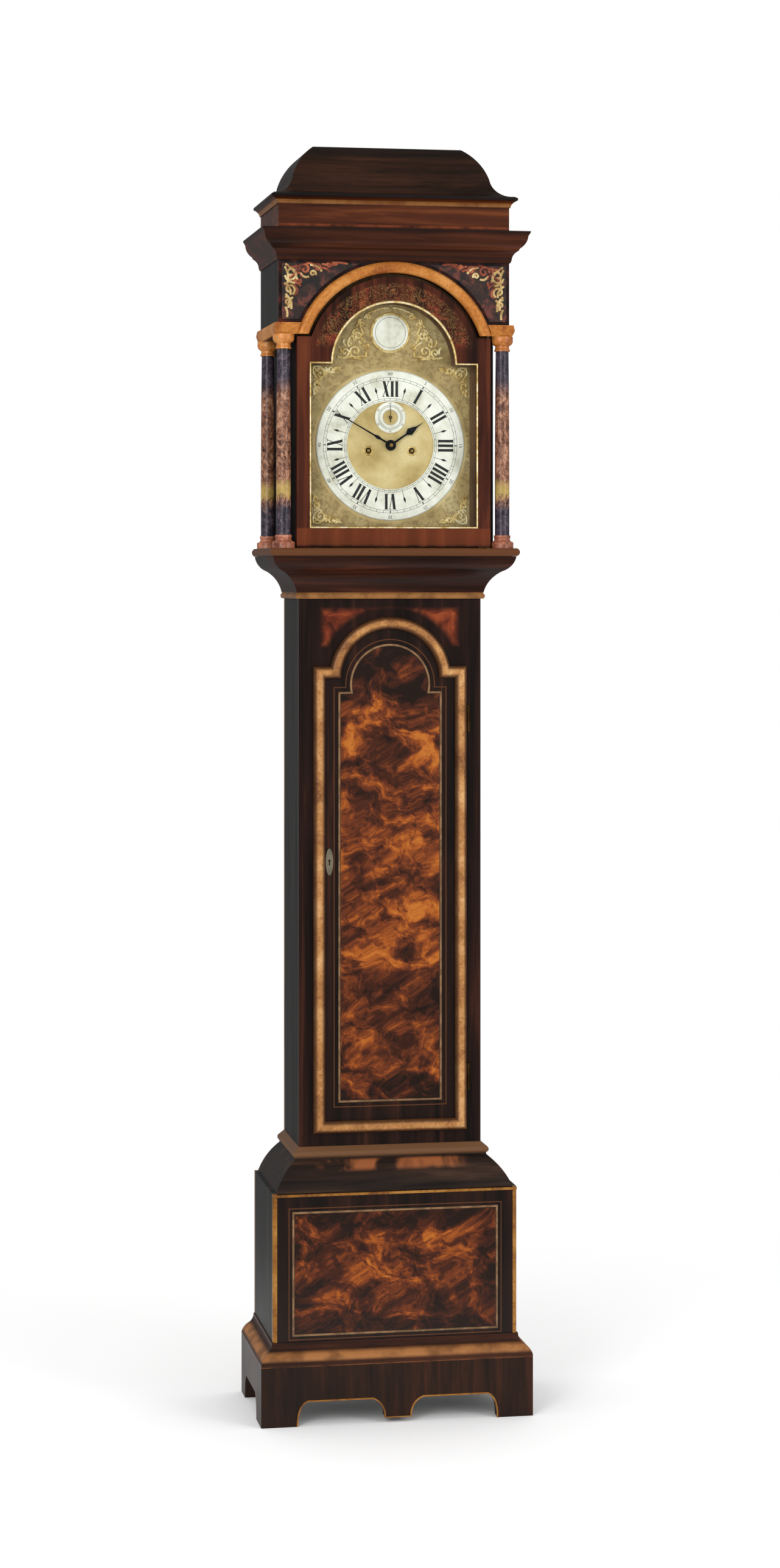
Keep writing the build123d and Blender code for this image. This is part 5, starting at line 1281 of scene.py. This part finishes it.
# Gut lines
def gut_line(node, finish):
    """A gut line below the barrel, its doubled points merged, as one mesh in place of its node."""
    whole = bmesh.new()
    whole.from_mesh(nodes[node].data)
    bmesh.ops.remove_doubles(whole, verts=whole.verts, dist=MM / 1000)
    mesh = bpy.data.meshes.new(node + "_falls")
    whole.to_mesh(mesh)
    whole.free()
    line = placed(node + "_falls", mesh, finish)
    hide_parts(node)
    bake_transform(line)


# Stage
def stage_floor():
    """A pale round floor that fades out into the background."""
    disc = bmesh.new()
    bmesh.ops.create_circle(disc, cap_ends=True, segments=96, radius=FLOOR_RADIUS)
    mesh = bpy.data.meshes.new("floor")
    disc.to_mesh(mesh)
    disc.free()
    finish = Finish("pale_floor")
    reach = (finish.x * finish.x + finish.y * finish.y) ** 0.5
    clear = finish.node("BsdfTransparent")
    shade = finish.node("BsdfDiffuse", {"Color": (0.93, 0.93, 0.93, 1)})
    surface = finish.node("MixShader", {0: finish.rise(reach, *FLOOR_FADE), 1: shade, 2: clear})
    finish.tree.links.new(surface.socket, finish.tree.nodes["Material Output"].inputs["Surface"])
    floor = placed("floor", mesh, finish)


def softbox(name, place, aim, size, power):
    """A rectangular lamp that points at a place on the clock."""
    lamp = bpy.data.lights.new(name, "AREA")
    lamp.shape = "RECTANGLE"
    lamp.size, lamp.size_y = size
    lamp.energy = power
    holder = bpy.data.objects.new(name, lamp)
    holder.location = place
    holder.rotation_euler = (Vector(aim) - Vector(place)).to_track_quat("-Z", "Y").to_euler()
    bpy.context.scene.collection.objects.link(holder)


def light():
    """White surroundings, dimmer in reflections, and two soft lamps in front."""
    world = bpy.data.worlds.new("white_studio")
    world.use_nodes = True
    background = world.node_tree.nodes["Background"]
    background.inputs["Color"].default_value = (1, 1, 1, 1)
    path = world.node_tree.nodes.new("ShaderNodeLightPath")
    dimmer = world.node_tree.nodes.new("ShaderNodeMath")
    dimmer.operation = "MULTIPLY_ADD"
    dimmer.inputs[1].default_value = REFLECTED_WORLD - DIRECT_WORLD
    dimmer.inputs[2].default_value = DIRECT_WORLD
    world.node_tree.links.new(path.outputs["Is Glossy Ray"], dimmer.inputs[0])
    world.node_tree.links.new(dimmer.outputs[0], background.inputs["Strength"])
    bpy.context.scene.world = world
    softbox("front_left_light", (-2.2, -3.4, 2.6), (0, 0, 1.3), (1.4, 2.4), 60)
    softbox("front_right_light", (2.4, -2.8, 2.0), (0, 0, 1.2), (1.2, 2.2), 30)
    bpy.context.scene.view_settings.view_transform = "Standard"


def camera():
    lens = bpy.data.cameras.new("camera")
    lens.lens = CAMERA_LENS
    lens.shift_y = CAMERA_SHIFT
    lens.clip_start = 0.1
    holder = bpy.data.objects.new("camera", lens)
    holder.location = CAMERA_PLACE
    holder.rotation_euler = (math.radians(90), 0, -math.radians(CAMERA_TURN))
    bpy.context.scene.collection.objects.link(holder)
    bpy.context.scene.camera = holder


camera()
light()
stage_floor()
finish_nodes()
marks = marks_growth()
beads = cord_growth()
wax = black_wax()
gilt = cast_gilt()
engrave_dial(marks, wax)
dial_fittings(gilt, wax)
dial_castings(beads, gilt)
gold = painted_fret("gold_fret_paint", "7c5c2c", "b49358", "e0cb96")
red = painted_fret("red_fret_paint", "451a10", "85391f", "b8683e")
hood_frets(beads, gold, red)
trim(beads, bead_finish(), gilt)
gut = gut_finish()
gut_line("going_gut_line", gut)
gut_line("strike_gut_line", gut)
